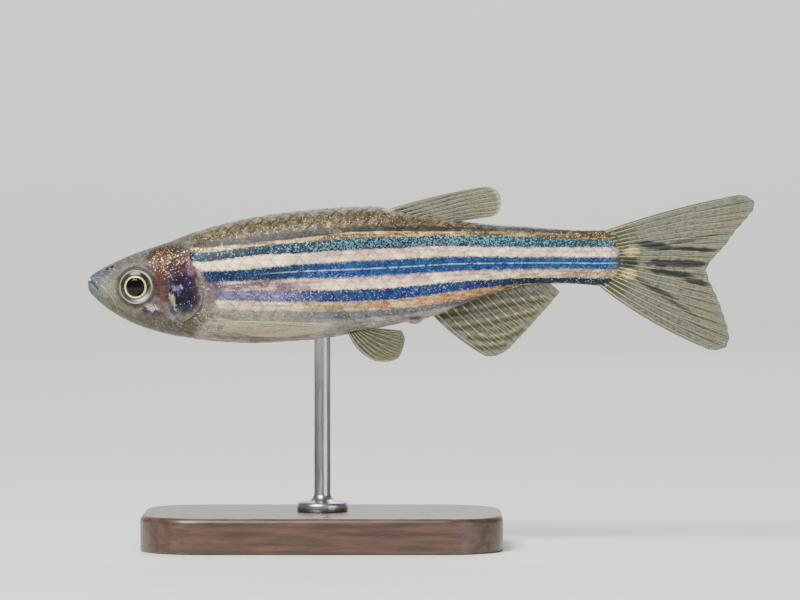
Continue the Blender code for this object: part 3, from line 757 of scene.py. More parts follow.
def ellipse(station, height, patch):
    """1 inside a tilted soft oval and 0 outside."""
    s0, h0, length, tall, tilt = patch[:5]
    c, s = math.cos(math.radians(tilt)), math.sin(math.radians(tilt))
    ds, dh = station - s0, height - h0
    r = np.hypot((ds * c + dh * s) / length, (-ds * s + dh * c) / tall)
    return 1 - ease(r, 0.72, 1.25)


def head_colour(station, height):
    """The head's colours as a blend of soft patches over a ground that pales to the throat."""
    wide = ripples(station, height, 1.6, 3) * 0.2 + ripples(station, height, 0.55, 13) * 0.16
    tall = ripples(station, height, 1.3, 4) * 0.2 + ripples(station, height, 0.5, 14) * 0.16
    s, h = station + wide, height + tall

    def over(ground, weight, colour):
        """A ground with a colour laid over it by a weight at each point."""
        weight = weight[..., None]
        return ground * (1 - weight) + np.array(paint(*colour)) * weight

    ground = over(np.array(paint(164, 156, 138)), ease(h, -6.0, 5.0), (136, 134, 122))
    tail = ease(station, 90, 92)
    ground = over(ground, tail, (142, 136, 106))
    for patch in HEAD_PATCHES + TAIL_PATCHES:
        ground = over(ground, ellipse(s, h, patch) * patch[6], patch[5])
    return ground * (0.68 + 0.32 * tail[..., None])


GLITTER_COLOURS = {
    "silver": (196, 182, 142), "gold": (240, 204, 132), "teal": (122, 184, 196),
    "white": (255, 244, 226), "sky": (92, 146, 200), "violet": (190, 178, 226),
}
# Glitter on the head: station, height, half length, half height, tilt, share of bright cells
HEAD_GLITTER = [
    (15.6, 4.2, 4.2, 3.4, 0, 0.16),
    (18.0, -1.5, 2.8, 3.8, 14, 0.07),
    (22.4, -6.4, 3.2, 2.2, -20, 0.14),
    (22.2, 0.5, 1.6, 3.5, 0, 0.1),
    (8.0, 5.2, 7.0, 1.0, 22, 0.12),
    (12.2, -4.0, 1.4, 0.7, -14, 0.3),
    (3.0, 2.2, 3.2, 1.3, 35, 0.14),
    (18.0, 8.4, 4.4, 1.8, 25, 0.12),
    (15.5, -7.0, 3.5, 1.4, 0, 0.1),
]


def markings(station, height):
    """Everything the skin's material reads, for points of the skin or of the scales."""
    band = band_of(station, height)
    gill = gill_distance(station, height)
    bare = 1.2 * (1 - ease(height, 2.6, 4.2)) + 1.3 * (1 - ease(height, -1.6, 0.6))
    nape = ease(height, 6.0, 8.5)
    ragged = 0.15 * ripples(station, height, 1.2, 5) + nape * 0.7 * ripples(station, height, 0.9, 15)
    head = ease((gill + bare + ragged) / (0.3 + 1.5 * nape), -1.0, 1.0)
    tail = ease(station + 0.4 * ripples(station, height, 1.0, 6), 96.8, 98.4)
    in_band = [within(band, k, k + 0.15, k + 0.85, k + 1) for k in range(BANDS)]
    green = 0.31 * ease(station, 30, 50) - 0.1 * ease(station, 66, 84)
    front_violet = bump(station, 36, 5) * bump(height, -1.6, 1.2)
    shares = {
        0: 0.12, 2: 0.16, 3: 0.1 + green, 4: 0.08, 5: 0.14, 6: 0.08, 7: 0.12 + 0.26 * front_violet,
        8: 0.14, 9: 0.08,
    }
    body = 0.02 + sum(amount * in_band[k] for k, amount in shares.items())
    for border in range(4, 9):
        body += 0.16 * bump(band, border + (0.08 if border % 2 == 0 else -0.08), 0.09)
    on_head = [ellipse(station, height, patch) * patch[5] for patch in HEAD_GLITTER]
    glitter = np.maximum.reduce([*on_head, body * (1 - head)]) * (1 - tail)
    face = head * ease(height, 0.5, 3.5)
    cheek = head * (1 - ease(height, 0.5, 3.5)) * within(station, 12, 15, 19, 21)
    tint = np.broadcast_to(bright(*GLITTER_COLOURS["white"]), (*station.shape, 3))
    for key, weight in (
        ("silver", in_band[0]), ("gold", in_band[2] + in_band[8]), ("teal", in_band[3]),
        ("sky", in_band[5]), ("violet", in_band[7]), ("gold", face), ("silver", head * nape),
        ("violet", in_band[5] * bump(station, 43, 8) * 0.7), ("sky", in_band[0] * ease(station, 70, 80)),
        ("violet", cheek),
    ):
        weight = np.clip(weight, 0, 1)[..., None]
        tint = tint * (1 - weight) + np.array(bright(*GLITTER_COLOURS[key])) * weight
    return {
        "band": band, "station": station, "patched": np.maximum(head, tail),
        # Painted shade in the creases and hollows of the head and the belly
        "crease": painted_crease_shade(station, height),
        "marks": head_colour(station, height), "glitter": glitter, "tint": tint,
    }


def flat_markings(station, height):
    """The markings as plain lists of numbers or colours, one for each corner."""
    found = markings(station, height)
    return {k: v.reshape(-1, 3) if v.ndim > station.ndim else v.ravel() for k, v in found.items()}


def stripe_stops(colours):
    """Ramp stops that hold each band's colour, with soft borders between bands."""
    soft = 0.09
    places = [(i + (soft if i else 0), i + 1 - soft) for i in range(BANDS)]
    return [(place / BANDS, colour) for pair, colour in zip(places, colours) for place in pair]


# Of each band from the back down: how metallic it is, how much pale streaks show and how much dark ones
BAND_TRAITS = [
    (0.1, 0.0, 0.2), (0.05, 0.05, 0.3), (0.4, 0.16, 0.9), (0.35, 0.0, 0.3), (0.35, 0.75, 0.3),
    (0.65, 0.0, 0.0), (0.35, 0.5, 0.35), (0.6, 0.0, 0.0), (0.4, 0.35, 0.3), (0.4, 0.0, 0.0),
    (0.1, 0.12, 0.2),
]


def band_colours(colours):
    """The bands' colours from the back down, behind the gills, in the middle and at the rear."""
    olive, dark = paint(116, 102, 74), paint(50, 54, 56)
    pink, slate, pale = bright(212, 170, 162), paint(136, 138, 152), paint(184, 176, 160)
    teal, blue, violet = (tuple(getattr(colours, k)) for k in ("teal_stripe", "blue_stripe", "violet_stripe"))
    front = [
        olive, dark, bright(160, 132, 88), paint(36, 60, 82), bright(244, 224, 182), paint(48, 68, 104),
        paint(150, 116, 134), paint(134, 130, 176), bright(204, 184, 150), pale, pale,
    ]
    middle = [
        olive, dark, bright(180, 150, 92), teal, pink, blue, pink, violet, bright(168, 140, 102), slate,
        paint(206, 200, 190),
    ]
    rear = [
        paint(116, 122, 116), paint(96, 98, 92), olive, paint(38, 84, 104), bright(226, 186, 174), blue,
        bright(158, 130, 106), paint(46, 66, 86), paint(150, 124, 98), pale, pale,
    ]
    return front, middle, rear


def skin_looks(colours):
    """Stripes, mottling, dark rims of scales, painted shade in the creases, and glitter."""

    def looks(start):
        """The settings of the skin's shader."""
        band, station, head = (start.attribute(k) for k in ("band", "station", "patched"))
        coarse = start.noise(0.33 * MM)
        fine = start.noise(0.11 * MM, 1.0)
        broken = band + (coarse - 0.5) * 0.24 + (fine - 0.5) * 0.26
        lie = broken / BANDS
        front, middle, rear = (lie.ramp(stripe_stops(c)) for c in band_colours(colours))
        traits = lie.ramp(stripe_stops(BAND_TRAITS))
        wander = station + (start.noise(0.8 * MM) - 0.5) * 14
        back_part = 1 - broken.ease(1.6, 2.0)

        # Cream lines along the pale bands, the orange one above the anal fin, and the mid-lateral line
        lower = broken.within(6.25, 6.6, 6.95, 7.05) * station.ease(39.0, 44.0)
        lower = lower * (1 - station.ease(64.0, 86.0) * 0.75)
        upper = broken.within(4.4, 4.7, 4.9, 5.0) * station.ease(38.0, 50.0)
        heart = broken.within(4.15, 4.35, 4.65, 4.85) * (1 - station.ease(36.0, 48.0))
        glow = broken.within(8.0, 8.2, 8.8, 9.0) * station.within(49.0, 57.0, 70.0, 80.0)
        from_line = start.maths("ABSOLUTE", band - 5.5).ease(0.02, 0.055)
        lateral = (1 - from_line) * station.ease(28.0, 42.0) * coarse.ease(0.3, 0.5)

        # Upright strokes and flecks of the back, gaps in the gold band, and streaks along the body
        upright = start.grain((2600.0, 2600.0, 800.0), 3.0)
        flecks = (1 - upright.ease(0.3, 0.45)) * (1 - broken.ease(0.8, 1.1))
        gaps = broken.within(2.0, 2.1, 2.95, 3.05) * fine.ease(0.45, 0.6)
        streaks = start.grain((420.0, 5200.0, 5200.0), 3.0)
        shaded = broken.ease(3.0, 4.0).mix(paint(84, 74, 56), paint(120, 84, 104))
        body = layered(
            front,
            (wander.ease(33.0, 46.0), middle),
            (wander.ease(64.0, 84.0), rear),
            ((lower + upper + heart).ease(0.0, 1.0), bright(244, 222, 176)),
            (glow, paint(192, 132, 78, 0.9)),
            (back_part * upright.ease(0.42, 0.66) * 0.6, paint(66, 60, 48)),
            (flecks * 0.45, bright(186, 156, 104)),
            (gaps * 0.55, paint(92, 76, 56)),
            ((1 - broken.ease(0.15, 0.45)) * 0.65, paint(176, 176, 160)),
            (traits.channel(1) * streaks.ease(0.48, 0.66), bright(255, 240, 196)),
            (traits.channel(2) * (1 - streaks.ease(0.4, 0.54)), shaded),
            (lateral * 0.8, bright(170, 190, 224)),
        )
        hue = 0.5 + (start.noise(0.4 * MM) - 0.5) * 0.16
        value = 0.8 + start.noise(0.28 * MM) * 0.4
        varied = {"Hue": hue, "Saturation": 0.96, "Value": value, "Color": body}
        body = start.node("ShaderNodeHueSaturation", None, varied)

        # The head and the tail's root over the bands with painted shade in the creases, then light and dark,
        # rims and glitter over all
        crease = start.attribute("crease") * (0.7 + fine * 0.4)
        base = layered(body, (head, start.attribute("marks", True)), (crease, paint(44, 36, 40)))
        cells = start.cells(0.07 * MM)
        tone = (cells.channel(0) * 0.6 + 0.7) * (start.attribute("plate") + 1.0)
        tone = tone * (1.08 - head * coarse.ease(0.4, 0.66) * 0.34)
        rim = start.attribute("rim") * 0.9 * (0.42 + back_part * 0.35 - broken.ease(8.8, 9.6) * 0.22)
        chance = cells.channel(1) + start.attribute("glitter") * (0.3 + coarse * 1.4)
        spark = chance.ease(0.97, 1.16)
        tint = start.attribute("tint", True).scaled(cells.channel(2) * 0.6 + 0.5)
        base = layered(base.scaled(tone), (rim, paint(50, 46, 44)), (spark * 0.7, tint))
        relief = cells.channel(2) * 0.3 + fine * 0.7
        return {
            "Base Color": base, "Metallic": (1 - head) * traits.channel(0) + head * 0.1 + spark * 0.3,
            "Roughness": 0.48 - spark * 0.14 + (fine - 0.5) * 0.16,
            "Normal": bumped(start, relief, 0.006 * MM),
            "Specular IOR Level": 0.12, "Coat Weight": 0.05, "Coat Roughness": 0.2,
        }

    return looks


# Fins


class Fin:
    """A fin's sheet: rays run from a root line to an edge line, both (station, height) lines."""

    def __init__(self, name, root, edge, rays, place, bow=0.0):
        self.name = name
        self.root = root
        self.edge = edge
        self.rays = rays
        self.place = place
        self.bow = bow

    def flat(self, across, out):
        """(station, height) of points given by their shares from the first ray and from the root."""
        start = along_curve(self.root, across)
        way = along_curve(self.edge, across) - start
        aside = units(np.column_stack([way[:, 1], -way[:, 0]]))
        bulge = hundredths(self.bow) * (1 - across) * 4 * out * (1 - out)
        return start + way * out[:, None] + aside * bulge[:, None]

    def space(self, across, out):
        """The same points in space, and their (station, height)."""
        shape = np.shape(across)
        across, out = np.ravel(across), np.ravel(out)
        flat = self.flat(np.clip(across, 0, 1), out)
        return self.place(flat[:, 0], flat[:, 1]).reshape(*shape, 3), flat.reshape(*shape, 2)

    def normal(self, across, out):
        """The direction that the sheet faces at its points."""
        step = 0.01
        low, high = np.clip(across - step, 0, 1), np.clip(across + step, 0, 1)
        sideways = self.space(high, out)[0] - self.space(low, out)[0]
        onward = self.space(across, out + step)[0] - self.space(across, out - step)[0]
        return units(np.cross(onward, sideways))


def in_middle(station, height):
    """A place in the fish's middle plane."""
    return np.stack([x_at(station), np.zeros(np.shape(station)), z_at(height)], -1)


def sunk_root(outline, stations, depth):
    """A fin's root along the back or the belly, sunk by a depth into the flesh."""
    along = np.linspace(*stations, 24)
    return beside(np.column_stack([along, outline(along)]), depth)


def tail_lobes():
    """Both lobes of the tail fin, which share its root's line and part at the fork."""
    border = beside(even_curve(TAIL_EDGE, 80), -1.15 * MM)
    upper = border[(border[:, 1] >= FORK_ROOT_HEIGHT - 0.1) & (border[:, 1] < 10.0)]
    lower = border[(border[:, 1] <= FORK_ROOT_HEIGHT + 0.1) & (border[:, 1] > -0.5)][::-1]
    return [
        Fin("caudal_fin_upper", upper, UPPER_LOBE_EDGE, 10, in_middle, -0.2 * MM),
        Fin("caudal_fin_lower", lower, LOWER_LOBE_EDGE, 9, in_middle, 0.3 * MM),
    ]


def pelvic_fin(name, side):
    """A pelvic fin, from a root beside the belly's middle, spreading down and outward."""
    station = np.linspace(*PELVIC_ROOT, 9)
    outward_share = hundredths(PELVIC_ROOT_SIDE) / half_width(station)
    fall = (1 - outward_share**SQUARENESS) ** (1 / SQUARENESS)
    root_height = widest(station) + (belly(station) - widest(station)) * fall
    top = z_at(root_height[0])

    def place(station, height):
        """A place on the fin's slanting sheet."""
        z = z_at(height)
        y = side * (PELVIC_ROOT_SIDE + (top - z) * math.tan(PELVIC_SPREAD))
        return np.stack([x_at(station), y, z], -1)

    return Fin(name, np.column_stack([station, root_height + 0.5]), PELVIC_EDGE, 8, place, 0.35 * MM)


def pectoral_fin(name, side):
    """A pectoral fin, folded back along the flank."""
    start = PECTORAL_ROOT[0][0]

    def place(station, height):
        """A place on the fin's sheet, which clears the flank more and more."""
        behind = share(np.maximum(station - start, 0))
        clear = -0.12 * MM + 0.5 * MM * ease(behind, 0, 1.6 * MM) + behind * math.tan(PECTORAL_FLARE)
        return np.stack([x_at(station), side * (share(flank(station, height)) + clear), z_at(height)], -1)

    return Fin(name, PECTORAL_ROOT, PECTORAL_EDGE, 13, place)


# Dark streaks and yellow spots of the tail fin: station, height, half length, half height, tilt, depth
TAIL_STREAKS = [
    (105.0, 7.3, 3.4, 0.65, -8, 1.0), (112.2, 6.6, 4.4, 0.42, -3, 1.0), (109.5, 4.0, 6.4, 0.6, -2, 0.95),
    (108.0, 2.2, 4.4, 0.5, -8, 1.0), (113.5, 0.4, 3.4, 0.45, -12, 0.95), (105.5, -1.0, 4.4, 0.45, -28, 0.6),
    (112.5, 8.6, 5.0, 0.35, 12, 0.4), (109.0, -3.6, 5.0, 0.35, -32, 0.4), (100.2, 4.2, 1.6, 1.0, 0, 0.85),
]
TAIL_SPOTS = [(100.8, 6.2, 1.5, 0.9, 0, 1.0), (100.2, 2.0, 1.4, 1.0, 0, 1.0)]
ANAL_STRIPES = [
    [(64.3, -5.2), (70.7, -4.3), (78.1, -2.9), (85.5, -2.0)],
    [(66.1, -7.4), (70.7, -7.0), (76.3, -5.9), (83.7, -4.3)],
    [(69.8, -8.9), (76.3, -9.3), (80.9, -7.4)],
    [(70.7, -10.7), (74.0, -10.9), (77.5, -10.4)],
]


def on_ray(fin, across):
    """1 along each ray's middle and -1 halfway between rays."""
    return np.cos(2 * math.pi * (across * fin.rays - 0.5))


def pleat(fin, across, out):
    """How far a fin's sheet stands to the side at its rays, and to the other side between them."""
    return 0.03 * MM * on_ray(fin, across) * ease(out, 0, 0.2)


def fin_markings(fin, station, height, across, out):
    """How dark, how golden and how pale a fin is at its points."""
    dark = np.zeros(station.shape)
    gold = np.zeros(station.shape)
    speckle = 0.5 + 0.5 * ripples(station, height, 0.5, 11)
    kind = fin.name.split("_")[0]
    if kind == "caudal":
        h = height + 0.12 * ripples(station, height, 2.0, 12)
        dark = np.maximum.reduce([ellipse(station, h, patch) * patch[5] for patch in TAIL_STREAKS])
        gold = np.maximum.reduce([ellipse(station, h, patch) * patch[5] for patch in TAIL_SPOTS])
    elif kind == "anal":
        beads = 0.45 + 0.55 * on_ray(fin, across)
        for line in ANAL_STRIPES:
            away, along = line_distance(station, height, even_curve(line, 20))
            ends = within(along, 0, 0.08, 0.92, 1)
            gold = np.maximum(gold, 0.8 * bump(away, 0, 0.22) * ends * np.maximum(beads, 0.6 * speckle))
            beside_it = np.maximum(0.55 * bump(away, -0.8, 0.4), 0.3 * bump(away, 0.8, 0.4))
            dark = np.maximum(dark, beside_it * ends)
        dark = dark * (1 - gold)
    elif kind == "dorsal":
        dark = (1 - ease(out, 0.05, 0.22)) * 0.5 * speckle + 0.25 * bump(out, 0.55, 0.3) * speckle
        gold = (1 - ease(out, 0.02, 0.14)) * 0.5
    edge = np.maximum(ease(out, 0.94, 0.985), 1 - ease(across, 0.0, 0.06))
    pale = edge * (0.6 if kind == "dorsal" else 0.15)
    return {"dark": np.clip(dark, 0, 1), "gold": np.clip(gold, 0, 1), "pale": pale, "out": out}


def make_membrane(fin, looks):
    """The thin sheet between the rays, pleated a little and notched between their tips."""
    columns, rows = fin.rays * 8 + 1, 44
    across = np.linspace(0, 1, columns)[None, :].repeat(rows, 0)
    between = 0.5 - 0.5 * on_ray(fin, across)
    out = np.linspace(0, 1, rows)[:, None] * (0.998 - 0.006 * between)
    points, flat = fin.space(across, out)
    normals = fin.normal(across, out)
    middle = pleat(fin, across, out)
    half = (0.026 - 0.018 * out) * MM
    faces = [points + normals * (middle + way * half)[..., None] for way in (1, -1)]
    both = np.concatenate([face.reshape(-1, 3) for face in faces])
    marks = fin_markings(fin, flat[..., 0], flat[..., 1], across, out)
    marks["ray"] = 1 - between
    values = {k: np.tile(v.ravel(), 2) for k, v in marks.items()}
    obj = make_mesh(fin.name + "_membrane", both, outward(both, thin_faces(rows, columns)).tolist(), values)
    return dress(obj, looks, [fin.name])


def outward(points, faces):
    """The faces turned so that the closed shape's volume is positive."""
    p = points[faces]
    volume = 0.0
    for a, b, c in ((0, 1, 2), (0, 2, 3)):
        volume += np.einsum("ij,ij->i", p[:, a], np.cross(p[:, b], p[:, c])).sum()
    return faces if volume > 0 else faces[:, ::-1]


def ray_paths(fin):
    """Each ray as a stem, two branches and four twigs, with shares and radii along them."""
    step = 1 / fin.rays
    parts = [(0.5 * step, 0, 0, 0.0, 0.995, 0.058, 0.024)]
    for ray in range(1, fin.rays):
        centre = (ray + 0.5) * step
        parts.append((centre, 0, 0, 0.0, 0.42, 0.042, 0.034))
        for side in (-1, 1):
            parts.append((centre, side, 0, 0.39, 0.72, 0.03, 0.025))
            parts += [(centre, side, twig, 0.69, 0.992, 0.023, 0.015) for twig in (-1, 1)]
    centre, side, twig, start, end, thick, thin = np.array(parts).T[..., None]
    t = np.linspace(0, 1, 14)
    out = start + (end - start) * t
    spread = side * 0.25 * ease(out, 0.38, 0.9) + twig * 0.125 * ease(out, 0.68, 1.0)
    return centre + spread * step, out, (thick + (thin - thick) * t) * MM


def make_rays(fin, looks, thickness):
    """The fin's bony rays, with a thickness in times of the usual one."""
    across, out, radii = ray_paths(fin)
    points, flat = fin.space(across, out)
    normals = fin.normal(across, out)
    points = points + normals * pleat(fin, across, out)[..., None]
    joints = 1 + 0.12 * np.sin(out * 160)
    corners, faces = tubes(points, radii * thickness * joints, normals, RAY_SIDES)
    marks = fin_markings(fin, flat[..., 0], flat[..., 1], across, out)
    values = {k: np.repeat(v.ravel(), RAY_SIDES) for k, v in marks.items()}
    obj = make_mesh(fin.name + "_rays", corners, faces, values)
    return dress(obj, looks)


def membrane_looks(colour, density, rooted=0.3):
    """A clear skin tinted by its pigment, denser by rooted at its root, and where it is dark."""

    def looks(start):
        """The settings of the membrane's shader."""
        out, dark, gold, pale = (start.attribute(k) for k in ("out", "dark", "gold", "pale"))
        fine = start.noise(0.12 * MM, 2.0)
        speck = start.cells(0.16 * MM).channel(0).ease(0.72, 0.8)
        base = layered(
            fine.mix(colour, tuple(c * 0.7 for c in colour)),
            (dark * (0.7 + 0.4 * fine), paint(38, 38, 48)),
            (gold * fine.ease(0.3, 0.55), paint(214, 196, 132)),
            (pale, paint(206, 208, 196, 0.8)),
        )
        cover = density + (1 - out.ease(0.0, 0.25)) * rooted + start.attribute("ray") * 0.12
        cover = cover + dark * 0.35 + gold * 0.35 + pale * 0.3 + speck * 0.08 + (fine - 0.5) * 0.2
        return {
            "Base Color": base, "Alpha": cover.ease(0.0, 1.0), "Roughness": 0.35 + fine * 0.2,
            "Normal": bumped(start, fine, 0.008 * MM), "Specular IOR Level": 0.25,
        }

    return looks


def ray_looks(colour, density, rooted=0.15):
    """Pale bone with fine joints, denser by rooted at its root."""

    def looks(start):
        """The settings of the rays' shader."""
        out, dark, gold, pale = (start.attribute(k) for k in ("out", "dark", "gold", "pale"))
        joints = start.maths("SINE", out * 130.0) * 0.5 + 0.5
        base = layered(
            (joints * 0.35).mix(colour, tuple(c * 0.55 for c in colour)),
            (dark * 0.95, paint(34, 34, 44)),
            (gold * 0.8, bright(226, 206, 140)),
            (pale, paint(216, 218, 206, 0.8)),
        )
        cover = density + dark * 0.3 + gold * 0.2 + (1 - out.ease(0.0, 0.3)) * rooted
        return {
            "Base Color": base, "Alpha": cover.ease(0.0, 1.0), "Roughness": 0.35,
            "Normal": bumped(start, joints, 0.004 * MM), "Specular IOR Level": 0.3,
        }

    return looks


# Sizes and colours that a user may change


class DanioSizes(bpy.types.PropertyGroup):
    """Sizes of the render's fine forms."""

    scale_pitch: FloatProperty(
        name="Scale pitch", description="From one scale to the next along the body",
        default=0.95 * MM, min=0.5 * MM, max=3 * MM, unit="LENGTH", precision=5,
    )
    scale_row: FloatProperty(
        name="Scale row", description="From one row of scales to the next at the deepest place",
        default=0.64 * MM, min=0.3 * MM, max=3 * MM, unit="LENGTH", precision=5,
    )
    scale_lift: FloatProperty(
        name="Scale lift", description="How far a scale's rear edge stands off the skin",
        default=0.045 * MM, min=0.0, max=0.2 * MM, unit="LENGTH", precision=6,
    )
    ray_thickness: FloatProperty(
        name="Ray thickness", description="Times the usual thickness of the fins' rays",
        default=1.0, min=0.3, max=3.0, subtype="FACTOR",
    )
    skin_columns: IntProperty(
        name="Skin columns", description="Points around the skin", default=228, min=60, max=232,
    )
    view_distance: FloatProperty(
        name="View distance", description="From the camera to the fish",
        default=0.32, min=0.1, max=2.0, unit="LENGTH",
    )


def colour_property(name, description, default):
    """A colour that a user may change."""
    return FloatVectorProperty(
        name=name, description=description, subtype="COLOR", size=3, min=0, max=1, default=default
    )


class DanioColours(bpy.types.PropertyGroup):
    """Main colours of the fish, the stand and the studio."""

    teal_stripe: colour_property("Upper stripe", "Dark stripe below the back", paint(30, 58, 78))
    blue_stripe: colour_property("Middle stripe", "Blue stripe along the flank", paint(38, 90, 156))
    violet_stripe: colour_property("Lower stripe", "Blue stripe along the belly", paint(42, 78, 142))
    membrane: colour_property("Fins", "Tint of the clear fins", paint(88, 92, 60))
    rays: colour_property("Fin rays", "Colour of the rays", paint(206, 198, 150, 0.7))
    wood: colour_property("Base", "Stain of the wooden base", paint(92, 64, 46))
    floor: colour_property("Floor", "Colour of the floor and the backdrop", bright(222, 222, 218))


def danio_skin(context):
    """The material that the skin and the scales share, made once."""
    found = bpy.data.materials.get("danio_skin")
    return found or material("danio_skin", skin_looks(context.scene.danio_colours))


# Pieces


def skin_stations():
    """Stations of the skin's rings, close together on the head and closest at the tip of the jaw."""
    stations = [0.02]
    while stations[-1] < BODY_END:
        s = stations[-1]
        stations.append(s + min(0.36, 0.02 + 0.1 * s, 0.125 + max(0.0, s - 22.0) * 0.03))
    stations = np.array(stations)
    return stations * BODY_END / stations[-1]


class DANIO_OT_skin(bpy.types.Operator):
    """Build the one skin of the head and the body"""

    bl_idname = "danio.skin"
    bl_label = "Skin"

    def execute(self, context):
        """Rings of corners around the body, closed at the jaw's tip and at the tail's root."""
        columns = context.scene.danio_sizes.skin_columns // 2 * 2
        stations = skin_stations()
        rows = len(stations)
        angles = -math.pi / 2 + 2 * math.pi * (np.arange(columns) + 0.5) / columns
        grid_s, grid_a = np.meshgrid(stations, angles, indexing="ij")
        station, side, height = body_point(grid_s, grid_a)
        points = np.stack([x_at(station), share(side), z_at(height)], -1)
        normals = body_normal(np.clip(grid_s, 0.05, BODY_END - 0.05), grid_a)
        scaled = ease(-gill_distance(station, height), 0.2, 1.2)
        rise = face_relief(station, height) - COAT_DEPTH * scaled
        points = swell_vent(points + normals * rise[..., None], station)
        for way in (-1, 1):
            points = sink_nostrils(sink_eye(points, way), way)
        tip = np.array([[x_at(0.0) + 0.02 * MM, 0.0, z_at(0.0)]])
        corners = np.concatenate([points.reshape(-1, 3), tip])

        u = stations / BODY_END
        v = np.arange(columns + 1) / columns
        faces = grid_faces(rows, columns, True).reshape(-1, 4).tolist()
        uvs = [
            (u[r + dr], v[c + dc])
            for r in range(rows - 1) for c in range(columns) for dr, dc in ((0, 0), (0, 1), (1, 1), (1, 0))
        ]
        for c in range(columns):
            faces.append([len(corners) - 1, (c + 1) % columns, c])
            uvs += [(0.0, v[c]), (u[0], v[c + 1]), (u[0], v[c])]
        last = (rows - 1) * columns
        for c in range(columns // 2 - 1):
            faces.append([last + c, last + c + 1, last + columns - 2 - c, last + columns - 1 - c])
            uvs += [(1.0, v[c]), (1.0, v[c + 1]), (1.0, v[c + 1]), (1.0, v[c])]
        values = {k: np.concatenate([a, a[:1]]) for k, a in flat_markings(station, height).items()}
        obj = make_mesh("skin", corners, faces, values, uvs)
        flesh = ("head", "gill_cover_left", "gill_cover_right", "trunk", "rear_body", "tail_stalk")
        dress(obj, danio_skin(context), flesh)
        return {"FINISHED"}


def girth_table():
    """Arc length from the flank's middle up and down to each angle, at stations along the body."""
    stations = np.linspace(15, BODY_END, GIRTH_RINGS)
    angles = np.linspace(-math.pi * 0.62, math.pi * 0.62, GIRTH_SPOKES)
    points = body_space(*np.meshgrid(stations, angles, indexing="ij"))
    steps = np.linalg.norm(np.diff(points, axis=1), axis=2)
    arc = np.concatenate([np.zeros((GIRTH_RINGS, 1)), np.cumsum(steps, axis=1)], axis=1)
    arc -= arc[:, [GIRTH_SPOKES // 2]]
    return stations, angles, arc


def scale_places(sizes):
    """Where the corners of each scale of one side lie: stations and angles of the plain body."""
    stations, angles, arc = girth_table()
    girth = arc[:, -1] - arc[:, 0]
    pitch = hundredths(sizes.scale_pitch)
    draw = np.random.default_rng(8)
    found = []

    def row_height(station):
        """From one row of scales to the next at a station."""
        i = np.clip(np.searchsorted(stations, station), 0, GIRTH_RINGS - 1)
        return sizes.scale_row * (girth[i] / girth[DEEPEST_RING]) ** 0.6

    for row in SCALE_ROWS:
        station = SCALES_FROM + (0.5 * pitch if row % 2 else 0.0)
        while station < SCALES_TO:
            centre = station + draw.uniform(-0.06, 0.06) * pitch
            station += pitch
            here = np.argmin(np.abs(stations - centre))
            bottom, top = np.interp([-math.pi / 2, math.pi / 2], angles, arc[here])
            if not bottom - 0.1 * MM < (row + 0.5) * row_height(centre) < top + 0.1 * MM:
                continue
            s = centre + pitch * (0.85 * SCALE_U - 0.26 * (SCALE_U + 1) * SCALE_W**2)
            rise = (row + 0.5) * row_height(s) + SCALE_W * row_height(s)
            ring = np.rint((s - stations[0]) / (stations[1] - stations[0]))
            ring = np.clip(ring, 0, GIRTH_RINGS - 1).astype(int)
            a = np.array([np.interp(x, arc[i], angles) for x, i in zip(rise.ravel(), ring.ravel())])
            found.append((s, a.reshape(s.shape)))
    return np.array(found).swapaxes(0, 1)


class DANIO_OT_scales(bpy.types.Operator):
    """Build the overlapping scales of the body, one piece for each side"""

    bl_idname = "danio.scales"
    bl_label = "Scales"

    def execute(self, context):
        """Thin closed plates, each tilted out of the skin towards its rear edge."""
        s, a = scale_places(context.scene.danio_sizes)
        station, _, height = body_point(s, a)
        centre_s, centre_h = station[:, *SCALE_MIDDLE], height[:, *SCALE_MIDDLE]
        before_tail = centre_s < tail_edge(centre_h) - TAIL_FLESH_SHORT - 1.5
        keep = (gill_distance(centre_s, centre_h) < -0.9) & before_tail
        s, a, station, height = s[keep], a[keep], station[keep], height[keep]
        # Each scale's own patch of the unwrap: at its root's place, and small enough to clear the next
        root_s, tip_s, root_a = s[:, :1, 4:5], s[:, -1:, 4:5], a[:, :1, 4:5]
        patch_u = (root_s + 0.46 * (s - (root_s + tip_s) / 2)) / BODY_END
        patch_v = 0.06 + 0.88 * (root_a + 0.36 * (a - root_a) + math.pi / 2) / math.pi
        patch = np.stack([patch_u, patch_v], -1)
        lift = context.scene.danio_sizes.scale_lift + SCALE_SINK
        top = -COAT_DEPTH - SCALE_SINK + lift * (SCALE_U + 1) / 2 - SCALE_THICKNESS * SCALE_W**2
        values = flat_markings(station, height)
        values["rim"] = np.broadcast_to(ease(SCALE_U, 0.6, 1.0), s.shape).ravel()
        values["plate"] = np.repeat(np.random.default_rng(9).uniform(-0.24, 0.16, len(s)), SCALE_U.size)
        doubled = {}
        for key, value in values.items():
            blocks = value.reshape(len(s), SCALE_U.size, *value.shape[1:])
            doubled[key] = np.stack([blocks, blocks], 1).reshape(-1, *value.shape[1:])
        for name, way in (("right", 1), ("left", -1)):
            angle = a if way == 1 else math.pi - a
            points, normal = body_space(s, angle), body_normal(s, angle)
            fronts = [points + normal * level[..., None] for level in (top, top - SCALE_THICKNESS)]
            corners = np.stack(fronts, 1).reshape(-1, 3)
            one = thin_faces(*SCALE_U.shape)[:, ::way]
            firsts = np.arange(len(s)) * 2 * SCALE_U.size
            faces = outward(corners, (one + firsts[:, None, None]).reshape(-1, 4))
            uv = np.stack([patch, patch], 1).reshape(-1, 2)[faces.ravel()]
            obj = make_mesh("scales_" + name, corners, faces.tolist(), doubled, uv)
            obj.data.set_sharp_from_angle(angle=math.radians(35))
            dress(obj, danio_skin(context))
        return {"FINISHED"}


